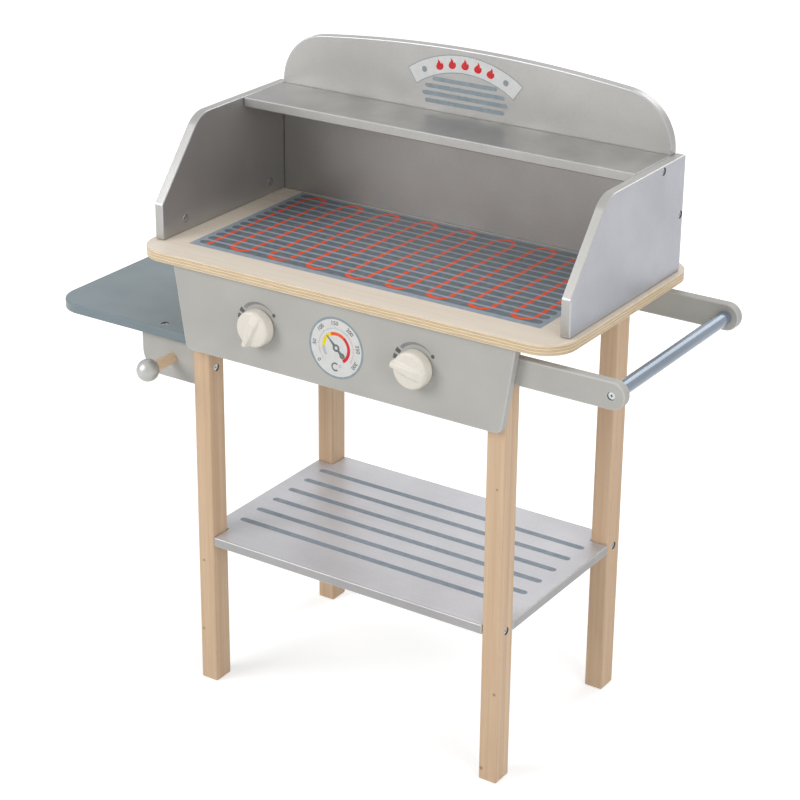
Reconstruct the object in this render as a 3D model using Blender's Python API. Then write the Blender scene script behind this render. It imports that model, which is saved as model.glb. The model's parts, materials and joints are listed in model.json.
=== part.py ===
"""Toy barbecue grill: wood legs, a plywood table top, a painted hood, a side tray and a towel bar.

The grill frame has x = 0 at the middle of the legs, y = 0 at the front face of the front legs and
z = 0 on the floor. One empty carries every piece and sets that frame on the middle of the footprint.
"""

import math
from collections import namedtuple

import bmesh
import bpy
from mathutils import Matrix, Vector

MM = 0.001

# Fits that all pieces share
GAP = 0.3 * MM
OVERRUN = 1.0 * MM
EDGE_ROUND = 1.5 * MM
EDGE_SEGMENTS = 2
ARC_SAG = 0.1 * MM
SHARP_ANGLE = math.radians(40.0)
ROUND_SIDES = 32
BALL_SIDES = 24
NUT_SIDES = 18
SMALL_SIDES = 10

# Painted boards and the legs
BOARD = 12.0 * MM
LEG_WIDTH = 23.5 * MM
LEG_DEPTH = 28.0 * MM
LEG_ROUND = 2.0 * MM
FRAME_WIDTH = 425.0 * MM
FRAME_DEPTH = 279.0 * MM
LOWER_SHELF_TOP = 199.5 * MM

# Table top
TABLE_TOP = 558.5 * MM
TABLE_THICKNESS = 12.0 * MM
TABLE_OVERHANG = 17.5 * MM
TABLE_SIDE_OVERHANG = 70.0 * MM
TABLE_CORNER = 37.0 * MM
TABLE_EDGE_ROUND = 0.8 * MM
DOWEL_RADIUS = 4.0 * MM
DOWEL_IN_LEG = 20.0 * MM
DOWEL_IN_TABLE = 8.0 * MM
DOWEL_EASE = 0.8 * MM

# Control panel and knobs
PANEL_LAP = 0.5 * MM
PANEL_FLARE = 16.0 * MM
PANEL_HEIGHT = 102.7 * MM
PANEL_CORNER = 8.0 * MM
PANEL_SCREW_PITCH = 30.0 * MM
PANEL_SCREW_RISE = 20.5 * MM
KNOB_PITCH = 211.5 * MM
KNOB_RISE = 1.5 * MM
KNOB_RADIUS = 21.6 * MM
KNOB_RIM = 16.0 * MM
KNOB_DOME = 1.5 * MM
KNOB_EDGE = 2.6 * MM
GRIP_TAIL_WIDTH = 12.0 * MM
GRIP_NOSE_WIDTH = 8.5 * MM
GRIP_HEIGHT = 20.5 * MM
GRIP_PAST_RIM = 1.4 * MM
GRIP_TAIL_INSET = 2.1 * MM
GRIP_UNDERSIDE = 11.0 * MM
GRIP_FLARE = 3.0 * MM
GRIP_FADE = 6.0 * MM
GRIP_RISE = 1.9 * MM
GRIP_DRAFT = 0.6 * MM
GRIP_SINK = 0.2 * MM
GRIP_ROUND = 1.2 * MM
GRIP_SEGMENTS = 3
LEFT_KNOB_TURN = math.radians(246.0)
RIGHT_KNOB_TURN = math.radians(167.5)
WASHER_RADIUS = 6.0 * MM
WASHER_THICKNESS = 1.2 * MM

# Hood
HOOD_INSET = 6.0 * MM
HOOD_FRONT_MARGIN = 33.5 * MM
HOOD_REAR_MARGIN = 29.3 * MM
HOOD_HEIGHT = 136.5 * MM
HOOD_LIP = 43.5 * MM
HOOD_SLOPE_RUN = 75.5 * MM
HOOD_BEND = 36.5 * MM
UPPER_SHELF_DEPTH = 81.0 * MM
HEADBOARD_RISE = 78.5 * MM
CROWN_RADIUS = 1755.0 * MM
SHOULDER_RADIUS = 64.0 * MM
NUT_INSET = 41.5 * MM
NUT_RISE = 16.0 * MM
NUT_RADIUS = 4.5 * MM
NUT_LENGTH = 10.0 * MM

# Towel bar on the right
ARM_HEIGHT = 31.5 * MM
ARM_DROP = 43.5 * MM
BAR_REACH = 123.5 * MM
BAR_RADIUS = 8.0 * MM
ARM_SCREW_PITCH = 16.0 * MM

# Side tray and utensil peg on the left
TRAY_TOP = 455.5 * MM
TRAY_LENGTH = 216.3 * MM
TRAY_CORNER = 37.0 * MM
TRAY_SCREW_REACH = 52.5 * MM
BRACKET_LENGTH = 83.5 * MM
BRACKET_HEIGHT = 53.2 * MM
BRACKET_CORNER = 29.0 * MM
PEG_RADIUS = 6.4 * MM
PEG_REACH = 46.0 * MM
PEG_OFFSET = 37.7 * MM
PEG_IN_BRACKET = 9.0 * MM
PEG_IN_BALL = 9.0 * MM
BALL_RADIUS = 13.6 * MM

# Fasteners: the recess is how far the head lies below the face that it enters
Fastener = namedtuple("Fastener", "head_radius head_rim head_height shank_radius length recess")

BOARD_SCREW_HEAD = 4.3 * MM
BOARD_SCREW_RIM = 0.6 * MM
BOARD_SCREW_HEAD_HEIGHT = 2.6 * MM
BOARD_SCREW_SHANK = 1.9 * MM
BOARD_SCREW_RECESS = 1.2 * MM
LEG_SCREW_BITE = 24.0 * MM
EDGE_SCREW_BITE = 26.0 * MM
PANEL_SCREW_BITE = 8.0 * MM
KNOB_SCREW_BITE = 11.0 * MM
PAN_HEAD_RADIUS = 4.0 * MM
PAN_HEAD_HEIGHT = 2.4 * MM
BOLT_HEAD_RADIUS = 5.0 * MM
BOLT_HEAD_HEIGHT = 3.0 * MM
BOLT_RADIUS = 2.4 * MM
BOLT_PAST_NUT = 2.0 * MM


def board_screw(carrier, bite):
    """A countersunk screw that crosses a carrier of one thickness and bites into the next piece."""
    return Fastener(BOARD_SCREW_HEAD, BOARD_SCREW_RIM, BOARD_SCREW_HEAD_HEIGHT, BOARD_SCREW_SHANK,
                    carrier + bite - BOARD_SCREW_RECESS, BOARD_SCREW_RECESS)


SHELF_SCREW = board_screw(LEG_WIDTH, LEG_SCREW_BITE)
ARM_SCREW = board_screw(LEG_WIDTH, LEG_SCREW_BITE)
BRACKET_SCREW = board_screw(LEG_WIDTH, LEG_SCREW_BITE)
PANEL_SCREW = board_screw(LEG_DEPTH, PANEL_SCREW_BITE)
HOOD_SCREW = board_screw(BOARD, EDGE_SCREW_BITE)
BAR_SCREW = board_screw(BOARD, EDGE_SCREW_BITE)
TRAY_SCREW = board_screw(BOARD, EDGE_SCREW_BITE)
KNOB_SCREW_LEAD = WASHER_THICKNESS + 2 * GAP
KNOB_SCREW = Fastener(PAN_HEAD_RADIUS, PAN_HEAD_HEIGHT, PAN_HEAD_HEIGHT, BOARD_SCREW_SHANK,
                      PAN_HEAD_HEIGHT + KNOB_SCREW_LEAD + BOARD + KNOB_SCREW_BITE,
                      -PAN_HEAD_HEIGHT - KNOB_SCREW_LEAD)
HOOD_BOLT = Fastener(BOLT_HEAD_RADIUS, BOLT_HEAD_HEIGHT, BOLT_HEAD_HEIGHT, BOLT_RADIUS,
                     BOLT_HEAD_HEIGHT + GAP + TABLE_THICKNESS + NUT_RISE + NUT_RADIUS + BOLT_PAST_NUT,
                     -BOLT_HEAD_HEIGHT - GAP)

# Planes and places in the grill frame, all worked out from the sizes above
FRAME_SIDE = FRAME_WIDTH / 2
LEG_MIDDLE = FRAME_SIDE - LEG_WIDTH / 2
LEG_INNER = FRAME_SIDE - LEG_WIDTH
FRONT_LEG_MIDDLE = LEG_DEPTH / 2
REAR_LEG_MIDDLE = FRAME_DEPTH - LEG_DEPTH / 2
TABLE_UNDERSIDE = TABLE_TOP - TABLE_THICKNESS
TABLE_SIDE = FRAME_SIDE + TABLE_SIDE_OVERHANG
TABLE_FRONT = -TABLE_OVERHANG
TABLE_REAR = FRAME_DEPTH + TABLE_OVERHANG
LOWER_SHELF_UNDERSIDE = LOWER_SHELF_TOP - BOARD
PANEL_BOTTOM = TABLE_UNDERSIDE - PANEL_HEIGHT
PANEL_MIDDLE = TABLE_UNDERSIDE - PANEL_HEIGHT / 2
PANEL_FRONT = -BOARD
KNOB_LEVEL = PANEL_MIDDLE + KNOB_RISE
PANEL_BOTTOM_SIDE = FRAME_SIDE + PANEL_LAP
PANEL_TOP_SIDE = PANEL_BOTTOM_SIDE + PANEL_FLARE
KNOB_FACE_EDGE = KNOB_RADIUS - KNOB_EDGE
GRIP_NOSE = KNOB_RADIUS + GRIP_PAST_RIM
GRIP_TAIL = KNOB_RADIUS - GRIP_TAIL_INSET
HOOD_SIDE = TABLE_SIDE - HOOD_INSET
HOOD_INNER = HOOD_SIDE - BOARD
HOOD_TOP = TABLE_TOP + HOOD_HEIGHT
HOOD_FRONT = TABLE_FRONT + HOOD_FRONT_MARGIN
HOOD_REAR = TABLE_REAR - HOOD_REAR_MARGIN
BACK_FRONT = HOOD_REAR - BOARD
UPPER_SHELF_FRONT = BACK_FRONT - UPPER_SHELF_DEPTH
ARM_MIDDLE = TABLE_TOP - ARM_DROP
ARM_END_RADIUS = ARM_HEIGHT / 2
BAR_X = FRAME_SIDE + BAR_REACH
ARM_REACH = BAR_X + ARM_END_RADIUS
TRAY_UNDERSIDE = TRAY_TOP - BOARD
TRAY_END = FRAME_SIDE + TRAY_LENGTH
BRACKET_MIDDLE = TRAY_UNDERSIDE - BRACKET_HEIGHT / 2
PEG_X = -FRAME_SIDE - PEG_OFFSET
BRACKET_FRONT = FRONT_LEG_MIDDLE - BOARD / 2
BALL_Y = BRACKET_FRONT - PEG_REACH
BALL_FRONT = BALL_Y - BALL_RADIUS

# The grill frame's place in the world: the footprint's middle is at the origin
GRILL_X = (TRAY_END - ARM_REACH) / 2
GRILL_Y = -(TABLE_REAR + BALL_FRONT) / 2

SIDES = {"left": -1, "right": 1}
ROWS = {"front": FRONT_LEG_MIDDLE, "rear": REAR_LEG_MIDDLE}
UP = Vector((0, 0, 1))
DOWN = Vector((0, 0, -1))
FORWARD = Vector((0, -1, 0))
BACKWARD = Vector((0, 1, 0))


def sideways(sign):
    """The direction along x, towards the right for +1 and the left for -1."""
    return Vector((sign, 0, 0))


def painted(name, colour, roughness, metallic=0.0):
    """A plain surface finish."""
    material = bpy.data.materials.new(name)
    material.use_nodes = True
    shader = material.node_tree.nodes["Principled BSDF"]
    shader.inputs["Base Color"].default_value = (*colour, 1.0)
    shader.inputs["Roughness"].default_value = roughness
    shader.inputs["Metallic"].default_value = metallic
    return material


def clear_scene():
    """Start from an empty scene."""
    for thing in list(bpy.data.objects):
        bpy.data.objects.remove(thing, do_unlink=True)


def arc(centre, radius, start, end):
    """Points on a circle from one angle to another: both ends, the middle and as many as the sag asks."""
    widest_step = 2 * math.acos(1 - ARC_SAG / radius)
    half_steps = math.ceil(abs(end - start) / 2 / widest_step)
    steps = 2 * half_steps
    angles = [start + (end - start) * step / steps for step in range(steps + 1)]
    return [(centre[0] + radius * math.cos(angle), centre[1] + radius * math.sin(angle)) for angle in angles]


def rounded(corners):
    """An anticlockwise outline from corners (u, v, radius), with an arc wherever the radius isn't zero."""
    points = []
    for index, (u, v, radius) in enumerate(corners):
        if radius == 0:
            points.append((u, v))
            continue
        corner = Vector((u, v))
        back = (Vector(corners[index - 1][:2]) - corner).normalized()
        ahead = (Vector(corners[(index + 1) % len(corners)][:2]) - corner).normalized()
        half = back.angle(ahead) / 2
        centre = corner + (back + ahead).normalized() * radius / math.sin(half)
        first = corner + back * radius / math.tan(half) - centre
        start = math.atan2(first.y, first.x)
        points += arc(centre, radius, start, start + math.pi - 2 * half)
    return points


def on_floor(u, v, w):
    """A board that lies flat: its outline is in x and y, its thickness goes up."""
    return (u, v, w)


def facing_front(u, v, w):
    """A board whose outline is in x and z, with its thickness going back."""
    return (u, w, v)


def facing_side(u, v, w):
    """A board whose outline is in y and z, with its thickness going right."""
    return (w, u, v)


def add_object(name, mesh, material, carrier, place=(0, 0, 0)):
    """Put a mesh in the scene, smooth-shaded, at a location or a matrix under its carrier."""
    mesh.shade_smooth()
    mesh.set_sharp_from_angle(angle=SHARP_ANGLE)
    if material and not mesh.materials:
        mesh.materials.append(material)
    piece = bpy.data.objects.new(name, mesh)
    piece.parent = carrier
    piece.matrix_local = place if isinstance(place, Matrix) else Matrix.Translation(place)
    bpy.context.scene.collection.objects.link(piece)
    return piece


def to_mesh(name, shape):
    """Close a bmesh into a mesh with its faces pointing out."""
    bmesh.ops.recalc_face_normals(shape, faces=shape.faces)
    mesh = bpy.data.meshes.new(name)
    shape.to_mesh(mesh)
    shape.free()
    return mesh


def prism(name, outline, thickness, lie):
    """An outline extruded by one thickness, laid in one of the three planes."""
    shape = bmesh.new()
    face = shape.faces.new([shape.verts.new(lie(u, v, 0)) for u, v in outline])
    extruded = bmesh.ops.extrude_face_region(shape, geom=[face])
    moved = [item for item in extruded["geom"] if isinstance(item, bmesh.types.BMVert)]
    bmesh.ops.translate(shape, verts=moved, vec=lie(0, 0, thickness))
    return to_mesh(name, shape)


def loft(name, sections):
    """Sections of as many points each, joined in order and closed at both ends."""
    shape = bmesh.new()
    rings = [[shape.verts.new(point) for point in section] for section in sections]
    for near, far in zip(rings, rings[1:]):
        for index in range(len(near)):
            after = (index + 1) % len(near)
            shape.faces.new([near[index], near[after], far[after], far[index]])
    shape.faces.new(rings[0])
    shape.faces.new(rings[-1])
    return to_mesh(name, shape)


def round_edges(piece, width):
    """Ease the sharp edges of a board or a leg."""
    bevel = piece.modifiers.new("edge_round", "BEVEL")
    bevel.width = width
    bevel.segments = EDGE_SEGMENTS
    bevel.limit_method = "ANGLE"
    bevel.angle_limit = SHARP_ANGLE
    return piece


def add_turned(shape, profile, sides, place=Matrix(), ring=False):
    """Add a solid turned about z from (radius, height) points; a ring's profile closes on itself."""
    rows = []
    for radius, height in profile:
        if radius == 0:
            rows.append([shape.verts.new(place @ Vector((0, 0, height)))])
            continue
        angles = [2 * math.pi * side / sides for side in range(sides)]
        rows.append([shape.verts.new(place @ Vector((radius * math.cos(a), radius * math.sin(a), height)))
                     for a in angles])
    pairs = list(zip(rows, rows[1:]))
    if ring:
        pairs.append((rows[-1], rows[0]))
    for low, high in pairs:
        for side in range(sides):
            after = (side + 1) % sides
            corners = [low[side % len(low)], low[after % len(low)], high[after % len(high)],
                       high[side % len(high)]]
            shape.faces.new(list(dict.fromkeys(corners)))


def turned(name, profile, sides, place=Matrix(), ring=False):
    """One turned solid as a mesh."""
    shape = bmesh.new()
    add_turned(shape, profile, sides, place, ring)
    return to_mesh(name, shape)


def pointing(point, direction):
    """The place of a turned solid whose z axis starts at a point and runs in a direction."""
    return Matrix.Translation(point) @ direction.to_track_quat("Z", "Y").to_matrix().to_4x4()


def rod_profile(radius, start, end, ease=0.0):
    """A plain rod between two heights, its ends eased by a small chamfer where one is asked for."""
    if ease == 0:
        return [(0, start), (radius, start), (radius, end), (0, end)]
    return [(0, start), (radius - ease, start), (radius, start + ease), (radius, end - ease),
            (radius - ease, end), (0, end)]


def fastener_profile(kind, grow=0.0, lead=0.0):
    """A screw or bolt, or with grow and lead the bore that it sits in."""
    head = kind.recess
    tip = head + kind.length + grow
    outer = kind.head_radius + grow
    shank = kind.shank_radius + grow
    return [(0, head - lead), (outer, head - lead), (outer, head + kind.head_rim),
            (shank, head + kind.head_height), (shank, tip), (0, tip)]


def bore_profile(kind):
    """The clearance bore of a screw or bolt, open past the face that it enters."""
    return fastener_profile(kind, GAP, abs(kind.recess) + OVERRUN)


class Bores:
    """Collects the bores of each piece, then cuts them with one cutter a piece."""

    def __init__(self, carrier):
        self.carrier = carrier
        self.shapes = {}

    def add(self, piece, profile, sides, place):
        """Mark one turned bore in a piece."""
        if piece not in self.shapes:
            self.shapes[piece] = bmesh.new()
        add_turned(self.shapes[piece], profile, sides, place)

    def cut(self):
        """Cut every marked bore."""
        for piece, shape in self.shapes.items():
            mesh = to_mesh("bores_of_" + piece.name, shape)
            cutter = add_object("bores_of_" + piece.name, mesh, None, self.carrier)
            cutter.hide_render = True
            cutter.display_type = "WIRE"
            subtract(piece, cutter)


def subtract(piece, cutter):
    """Cut one object, whose bores may cross each other, out of another."""
    boolean = piece.modifiers.new("bores", "BOOLEAN")
    boolean.operation = "DIFFERENCE"
    boolean.object = cutter
    boolean.use_self = True


def drive(bores, name, kind, point, direction, crossed, material, carrier):
    """Make one screw or bolt from a point in a direction, and bore the pieces that it crosses."""
    place = pointing(point, direction)
    for piece in crossed:
        bores.add(piece, bore_profile(kind), SMALL_SIDES, place)
    return add_object(name, turned(name, fastener_profile(kind), SMALL_SIDES), material, carrier, place)


def make_legs(wood, carrier):
    """Four plain legs, keyed by row and side."""
    across = LEG_WIDTH / 2
    deep = LEG_DEPTH / 2
    outline = [(-across, -deep), (across, -deep), (across, deep), (-across, deep)]
    mesh = prism("leg", outline, TABLE_UNDERSIDE - GAP, on_floor)
    legs = {}
    for row, y in ROWS.items():
        for side, sign in SIDES.items():
            place = (sign * LEG_MIDDLE, y, 0)
            leg = add_object(f"leg_{row}_{side}", mesh.copy(), wood, carrier, place)
            legs[row, side] = round_edges(leg, LEG_ROUND)
    return legs


def make_lower_shelf(paint, carrier):
    """The lower shelf, flush with the legs and notched round them."""
    side = FRAME_SIDE
    notch = LEG_INNER - GAP
    front = LEG_DEPTH + GAP
    rear = FRAME_DEPTH - front
    outline = [(-notch, 0), (notch, 0), (notch, front), (side, front), (side, rear), (notch, rear),
               (notch, FRAME_DEPTH), (-notch, FRAME_DEPTH), (-notch, rear), (-side, rear),
               (-side, front), (-notch, front)]
    shelf = add_object("lower_shelf", prism("lower_shelf", outline, BOARD, on_floor), paint, carrier,
                       (0, 0, LOWER_SHELF_UNDERSIDE))
    return round_edges(shelf, EDGE_ROUND)


def make_table_top(wood, carrier):
    """The plywood top with four round corners."""
    outline = rounded([(-TABLE_SIDE, TABLE_FRONT, TABLE_CORNER), (TABLE_SIDE, TABLE_FRONT, TABLE_CORNER),
                       (TABLE_SIDE, TABLE_REAR, TABLE_CORNER), (-TABLE_SIDE, TABLE_REAR, TABLE_CORNER)])
    top = add_object("table_top", prism("table_top", outline, TABLE_THICKNESS, on_floor), wood, carrier,
                     (0, 0, TABLE_UNDERSIDE))
    return round_edges(top, TABLE_EDGE_ROUND)


def make_control_panel(paint, carrier):
    """The tapered panel in front of the front legs."""
    height = PANEL_HEIGHT - GAP
    outline = rounded([(-PANEL_BOTTOM_SIDE, 0, PANEL_CORNER), (PANEL_BOTTOM_SIDE, 0, PANEL_CORNER),
                       (PANEL_TOP_SIDE, height, 0), (-PANEL_TOP_SIDE, height, 0)])
    panel = add_object("control_panel", prism("control_panel", outline, BOARD - GAP, facing_front), paint,
                       carrier, (0, PANEL_FRONT, PANEL_BOTTOM))
    return round_edges(panel, EDGE_ROUND)


def make_hood_sides(paint, carrier):
    """Two side panels with a short upright lip, a slanted edge and a round bend."""
    depth = HOOD_REAR - HOOD_FRONT
    foot = GAP
    outline = rounded([(0, foot, 0), (depth, foot, 0), (depth, HOOD_HEIGHT, 0),
                       (HOOD_SLOPE_RUN, HOOD_HEIGHT, HOOD_BEND), (0, HOOD_LIP, 0)])
    mesh = prism("hood_side", outline, BOARD, facing_side)
    panels = {}
    for side, sign in SIDES.items():
        left_face = HOOD_INNER if sign > 0 else -HOOD_SIDE
        place = (left_face, HOOD_FRONT, TABLE_TOP)
        panel = add_object(f"hood_side_{side}", mesh.copy(), paint, carrier, place)
        panels[side] = round_edges(panel, EDGE_ROUND)
    return panels


def make_hood_back(paint, carrier):
    """The back board, which rises above the shelf as a headboard with a flat crown and round shoulders."""
    side = HOOD_INNER - GAP
    foot = GAP
    crown_centre = HOOD_HEIGHT + HEADBOARD_RISE - CROWN_RADIUS
    shoulder = side - SHOULDER_RADIUS
    from_centre = CROWN_RADIUS - SHOULDER_RADIUS
    shoulder_height = crown_centre + math.sqrt(from_centre ** 2 - shoulder ** 2)
    turn = math.asin(shoulder / from_centre)
    upright = math.pi / 2
    right_arc = arc((shoulder, shoulder_height), SHOULDER_RADIUS, 0, upright - turn)
    crown_arc = arc((0, crown_centre), CROWN_RADIUS, upright - turn, upright + turn)
    left_arc = [(-u, v) for u, v in reversed(right_arc)]
    outline = [(-side, foot), (side, foot)] + right_arc + crown_arc[1:-1] + left_arc
    back = add_object("hood_back", prism("hood_back", outline, BOARD, facing_front), paint, carrier,
                      (0, BACK_FRONT, TABLE_TOP))
    return round_edges(back, EDGE_ROUND)


def make_upper_shelf(paint, carrier):
    """The shelf between the side panels, level with their top edge."""
    side = HOOD_INNER - GAP
    depth = UPPER_SHELF_DEPTH - GAP
    outline = [(-side, 0), (side, 0), (side, depth), (-side, depth)]
    shelf = add_object("upper_shelf", prism("upper_shelf", outline, BOARD, on_floor), paint, carrier,
                       (0, UPPER_SHELF_FRONT, HOOD_TOP - BOARD))
    return round_edges(shelf, EDGE_ROUND)


def make_handle_arms(paint, carrier):
    """Two arms with a round end, flush with the outer faces of the right legs."""
    end = arc((BAR_REACH, 0), ARM_END_RADIUS, -math.pi / 2, math.pi / 2)
    outline = [(GAP, -ARM_END_RADIUS)] + end + [(GAP, ARM_END_RADIUS)]
    mesh = prism("handle_arm", outline, BOARD, facing_front)
    arms = {}
    for row, y in (("front", 0), ("rear", FRAME_DEPTH - BOARD)):
        arm = add_object(f"handle_arm_{row}", mesh.copy(), paint, carrier, (FRAME_SIDE, y, ARM_MIDDLE))
        arms[row] = round_edges(arm, EDGE_ROUND)
    return arms


def make_handle_bar(paint, carrier):
    """The towel bar, a round rod between the arms."""
    length = FRAME_DEPTH - 2 * BOARD
    place = pointing(Vector((0, 0, 0)), BACKWARD)
    mesh = turned("handle_bar", rod_profile(BAR_RADIUS, GAP, length - GAP), ROUND_SIDES, place)
    return add_object("handle_bar", mesh, paint, carrier, (BAR_X, BOARD, ARM_MIDDLE))


def make_tray_brackets(paint, carrier):
    """Two brackets that stand out from the left legs, with a round lower corner."""
    height = BRACKET_HEIGHT - GAP
    outline = rounded([(-BRACKET_LENGTH, 0, BRACKET_CORNER), (-GAP, 0, 0), (-GAP, height, 0),
                       (-BRACKET_LENGTH, height, 0)])
    mesh = prism("tray_bracket", outline, BOARD, facing_front)
    brackets = {}
    for row, y in ROWS.items():
        place = (-FRAME_SIDE, y - BOARD / 2, TRAY_UNDERSIDE - BRACKET_HEIGHT)
        bracket = add_object(f"tray_bracket_{row}", mesh.copy(), paint, carrier, place)
        brackets[row] = round_edges(bracket, EDGE_ROUND)
    return brackets


def make_side_tray(paint, carrier):
    """The side tray, with round outer corners."""
    outline = rounded([(-TRAY_LENGTH, 0, TRAY_CORNER), (-GAP, 0, 0), (-GAP, FRAME_DEPTH, 0),
                       (-TRAY_LENGTH, FRAME_DEPTH, TRAY_CORNER)])
    tray = add_object("side_tray", prism("side_tray", outline, BOARD, on_floor), paint, carrier,
                      (-FRAME_SIDE, 0, TRAY_UNDERSIDE))
    return round_edges(tray, EDGE_ROUND)


def make_peg(bores, bracket, wood, paint, carrier):
    """The utensil peg in the front bracket, with the ball on its end."""
    inner = BRACKET_FRONT + PEG_IN_BRACKET
    root = pointing(Vector((0, 0, 0)), FORWARD)
    length = inner - (BALL_Y + BALL_RADIUS - PEG_IN_BALL)
    mesh = turned("utensil_peg", rod_profile(PEG_RADIUS, 0, length), ROUND_SIDES, root)
    add_object("utensil_peg", mesh, wood, carrier, (PEG_X, inner, BRACKET_MIDDLE))
    rings = BALL_SIDES // 2
    heights = [math.pi * ring / rings for ring in range(rings + 1)]
    profile = [(BALL_RADIUS * math.sin(a), -BALL_RADIUS * math.cos(a)) for a in heights[1:-1]]
    profile = [(0, -BALL_RADIUS)] + profile + [(0, BALL_RADIUS)]
    ball = add_object("peg_ball", turned("peg_ball", profile, BALL_SIDES, root), paint, carrier,
                      (PEG_X, BALL_Y, BRACKET_MIDDLE))
    bore = rod_profile(PEG_RADIUS + GAP, -GAP, length + GAP)
    place = pointing(Vector((PEG_X, inner, BRACKET_MIDDLE)), FORWARD)
    for piece in (bracket, ball):
        bores.add(piece, bore, ROUND_SIDES, place)


def face_height(radius):
    """How far the knob's domed face stands from the panel at a distance from its axis."""
    sphere = (KNOB_FACE_EDGE ** 2 + KNOB_DOME ** 2) / (2 * KNOB_DOME)
    return KNOB_RIM + KNOB_DOME - sphere + math.sqrt(sphere ** 2 - radius ** 2)


def grip_section(along, flare, inset):
    """One section across the grip: concave feet that spread over the face, and a rounded top."""
    nose_share = (along + GRIP_TAIL) / (GRIP_NOSE + GRIP_TAIL)
    width = GRIP_TAIL_WIDTH + nose_share * (GRIP_NOSE_WIDTH - GRIP_TAIL_WIDTH)
    half = width / 2 - inset
    top = GRIP_HEIGHT - inset
    foot = face_height(min(math.hypot(along, half + flare), KNOB_FACE_EDGE)) - GRIP_SINK
    side = [(half + flare, GRIP_UNDERSIDE + inset)]
    for step in range(GRIP_SEGMENTS + 1):
        angle = math.pi / 2 * step / GRIP_SEGMENTS
        side.append((half + flare * (1 - math.sin(angle)), foot + GRIP_RISE * (1 - math.cos(angle))))
    side += arc((half - GRIP_ROUND, top - GRIP_ROUND), GRIP_ROUND, 0, math.pi / 2)
    section = side + [(-across, height) for across, height in reversed(side)]
    return [facing_front(along, across, -height) for across, height in section]


def grip_stations():
    """Where the grip's sections lie, as (along, flare, inset): the feet run out before both round ends."""
    ends = []
    for step in range(GRIP_SEGMENTS + 1):
        angle = math.pi / 2 * step / GRIP_SEGMENTS
        ends.append((GRIP_ROUND * (1 - math.cos(angle)), GRIP_ROUND * (1 - math.sin(angle))))
    full_flare = KNOB_FACE_EDGE - GRIP_FADE
    stations = [(-GRIP_TAIL + back, GRIP_DRAFT, inset) for back, inset in ends]
    stations += [(-full_flare, GRIP_FLARE, 0), (full_flare, GRIP_FLARE, 0), (KNOB_FACE_EDGE, GRIP_DRAFT, 0)]
    stations += [(GRIP_NOSE - back, GRIP_DRAFT, inset) for back, inset in reversed(ends)]
    return stations


def make_knob(name, turn, paint, hub):
    """A domed disc with a raised, tapered grip that runs out past its rim as a nose."""
    rim = arc((KNOB_FACE_EDGE, KNOB_RIM - KNOB_EDGE), KNOB_EDGE, 0, math.pi / 2)
    face_shares = (0.85, 0.55, 0.3)
    face = [(KNOB_FACE_EDGE * share, face_height(KNOB_FACE_EDGE * share)) for share in face_shares]
    profile = [(0, GAP), (KNOB_RADIUS - EDGE_ROUND, GAP), (KNOB_RADIUS, GAP + EDGE_ROUND)]
    profile += rim + face + [(0, face_height(0))]
    out = pointing(Vector((0, 0, 0)), FORWARD)
    knob = add_object(name, turned(name, profile, ROUND_SIDES, out), paint, hub)
    mesh = loft(name + "_grip", [grip_section(*station) for station in grip_stations()])
    grip = add_object(name + "_grip", mesh, None, hub)
    grip.rotation_euler = (0, -turn, 0)
    grip.hide_render = True
    grip.display_type = "WIRE"
    union = knob.modifiers.new("grip", "BOOLEAN")
    union.operation = "UNION"
    union.object = grip
    return knob


def make_knobs(bores, panel, paint, steel, carrier):
    """Both knobs, each with its screw and washer, on an empty that marks its axis."""
    for side, turn in (("left", LEFT_KNOB_TURN), ("right", RIGHT_KNOB_TURN)):
        x = SIDES[side] * KNOB_PITCH / 2
        hub = bpy.data.objects.new(f"knob_axis_{side}", None)
        hub.location = (x, PANEL_FRONT, KNOB_LEVEL)
        hub.parent = carrier
        bpy.context.scene.collection.objects.link(hub)
        knob = make_knob(f"knob_{side}", turn, paint, hub)
        from_behind = pointing(Vector((0, BOARD, 0)), FORWARD)
        screw = turned("knob_screw", fastener_profile(KNOB_SCREW), SMALL_SIDES)
        add_object(f"knob_screw_{side}", screw, steel, hub, from_behind)
        bore = pointing(Vector((x, 0, KNOB_LEVEL)), FORWARD)
        bores.add(panel, bore_profile(KNOB_SCREW), SMALL_SIDES, bore)
        bores.add(knob, bore_profile(KNOB_SCREW), SMALL_SIDES, bore)
        hole = BOARD_SCREW_SHANK + GAP
        ring = [(hole, 0), (WASHER_RADIUS, 0), (WASHER_RADIUS, WASHER_THICKNESS), (hole, WASHER_THICKNESS)]
        behind = pointing(Vector((0, 0, 0)), BACKWARD)
        washer = turned("knob_washer", ring, SMALL_SIDES, behind, ring=True)
        add_object(f"knob_washer_{side}", washer, steel, carrier, (x, GAP, KNOB_LEVEL))


def drive_frame_screws(bores, legs, shelf, panel, steel, carrier):
    """Screws through the legs into the lower shelf and the control panel."""
    for (row, side), leg in legs.items():
        sign = SIDES[side]
        name = f"shelf_screw_{row}_{side}"
        point = Vector((sign * FRAME_SIDE, ROWS[row], LOWER_SHELF_TOP - BOARD / 2))
        drive(bores, name, SHELF_SCREW, point, sideways(-sign), (leg, shelf), steel, carrier)
    for side, sign in SIDES.items():
        for level, step in (("lower", 0), ("upper", 1)):
            height = PANEL_BOTTOM + PANEL_SCREW_RISE + step * PANEL_SCREW_PITCH
            name = f"panel_screw_{level}_{side}"
            point = Vector((sign * LEG_MIDDLE, LEG_DEPTH, height))
            crossed = (legs["front", side], panel)
            drive(bores, name, PANEL_SCREW, point, FORWARD, crossed, steel, carrier)


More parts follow.
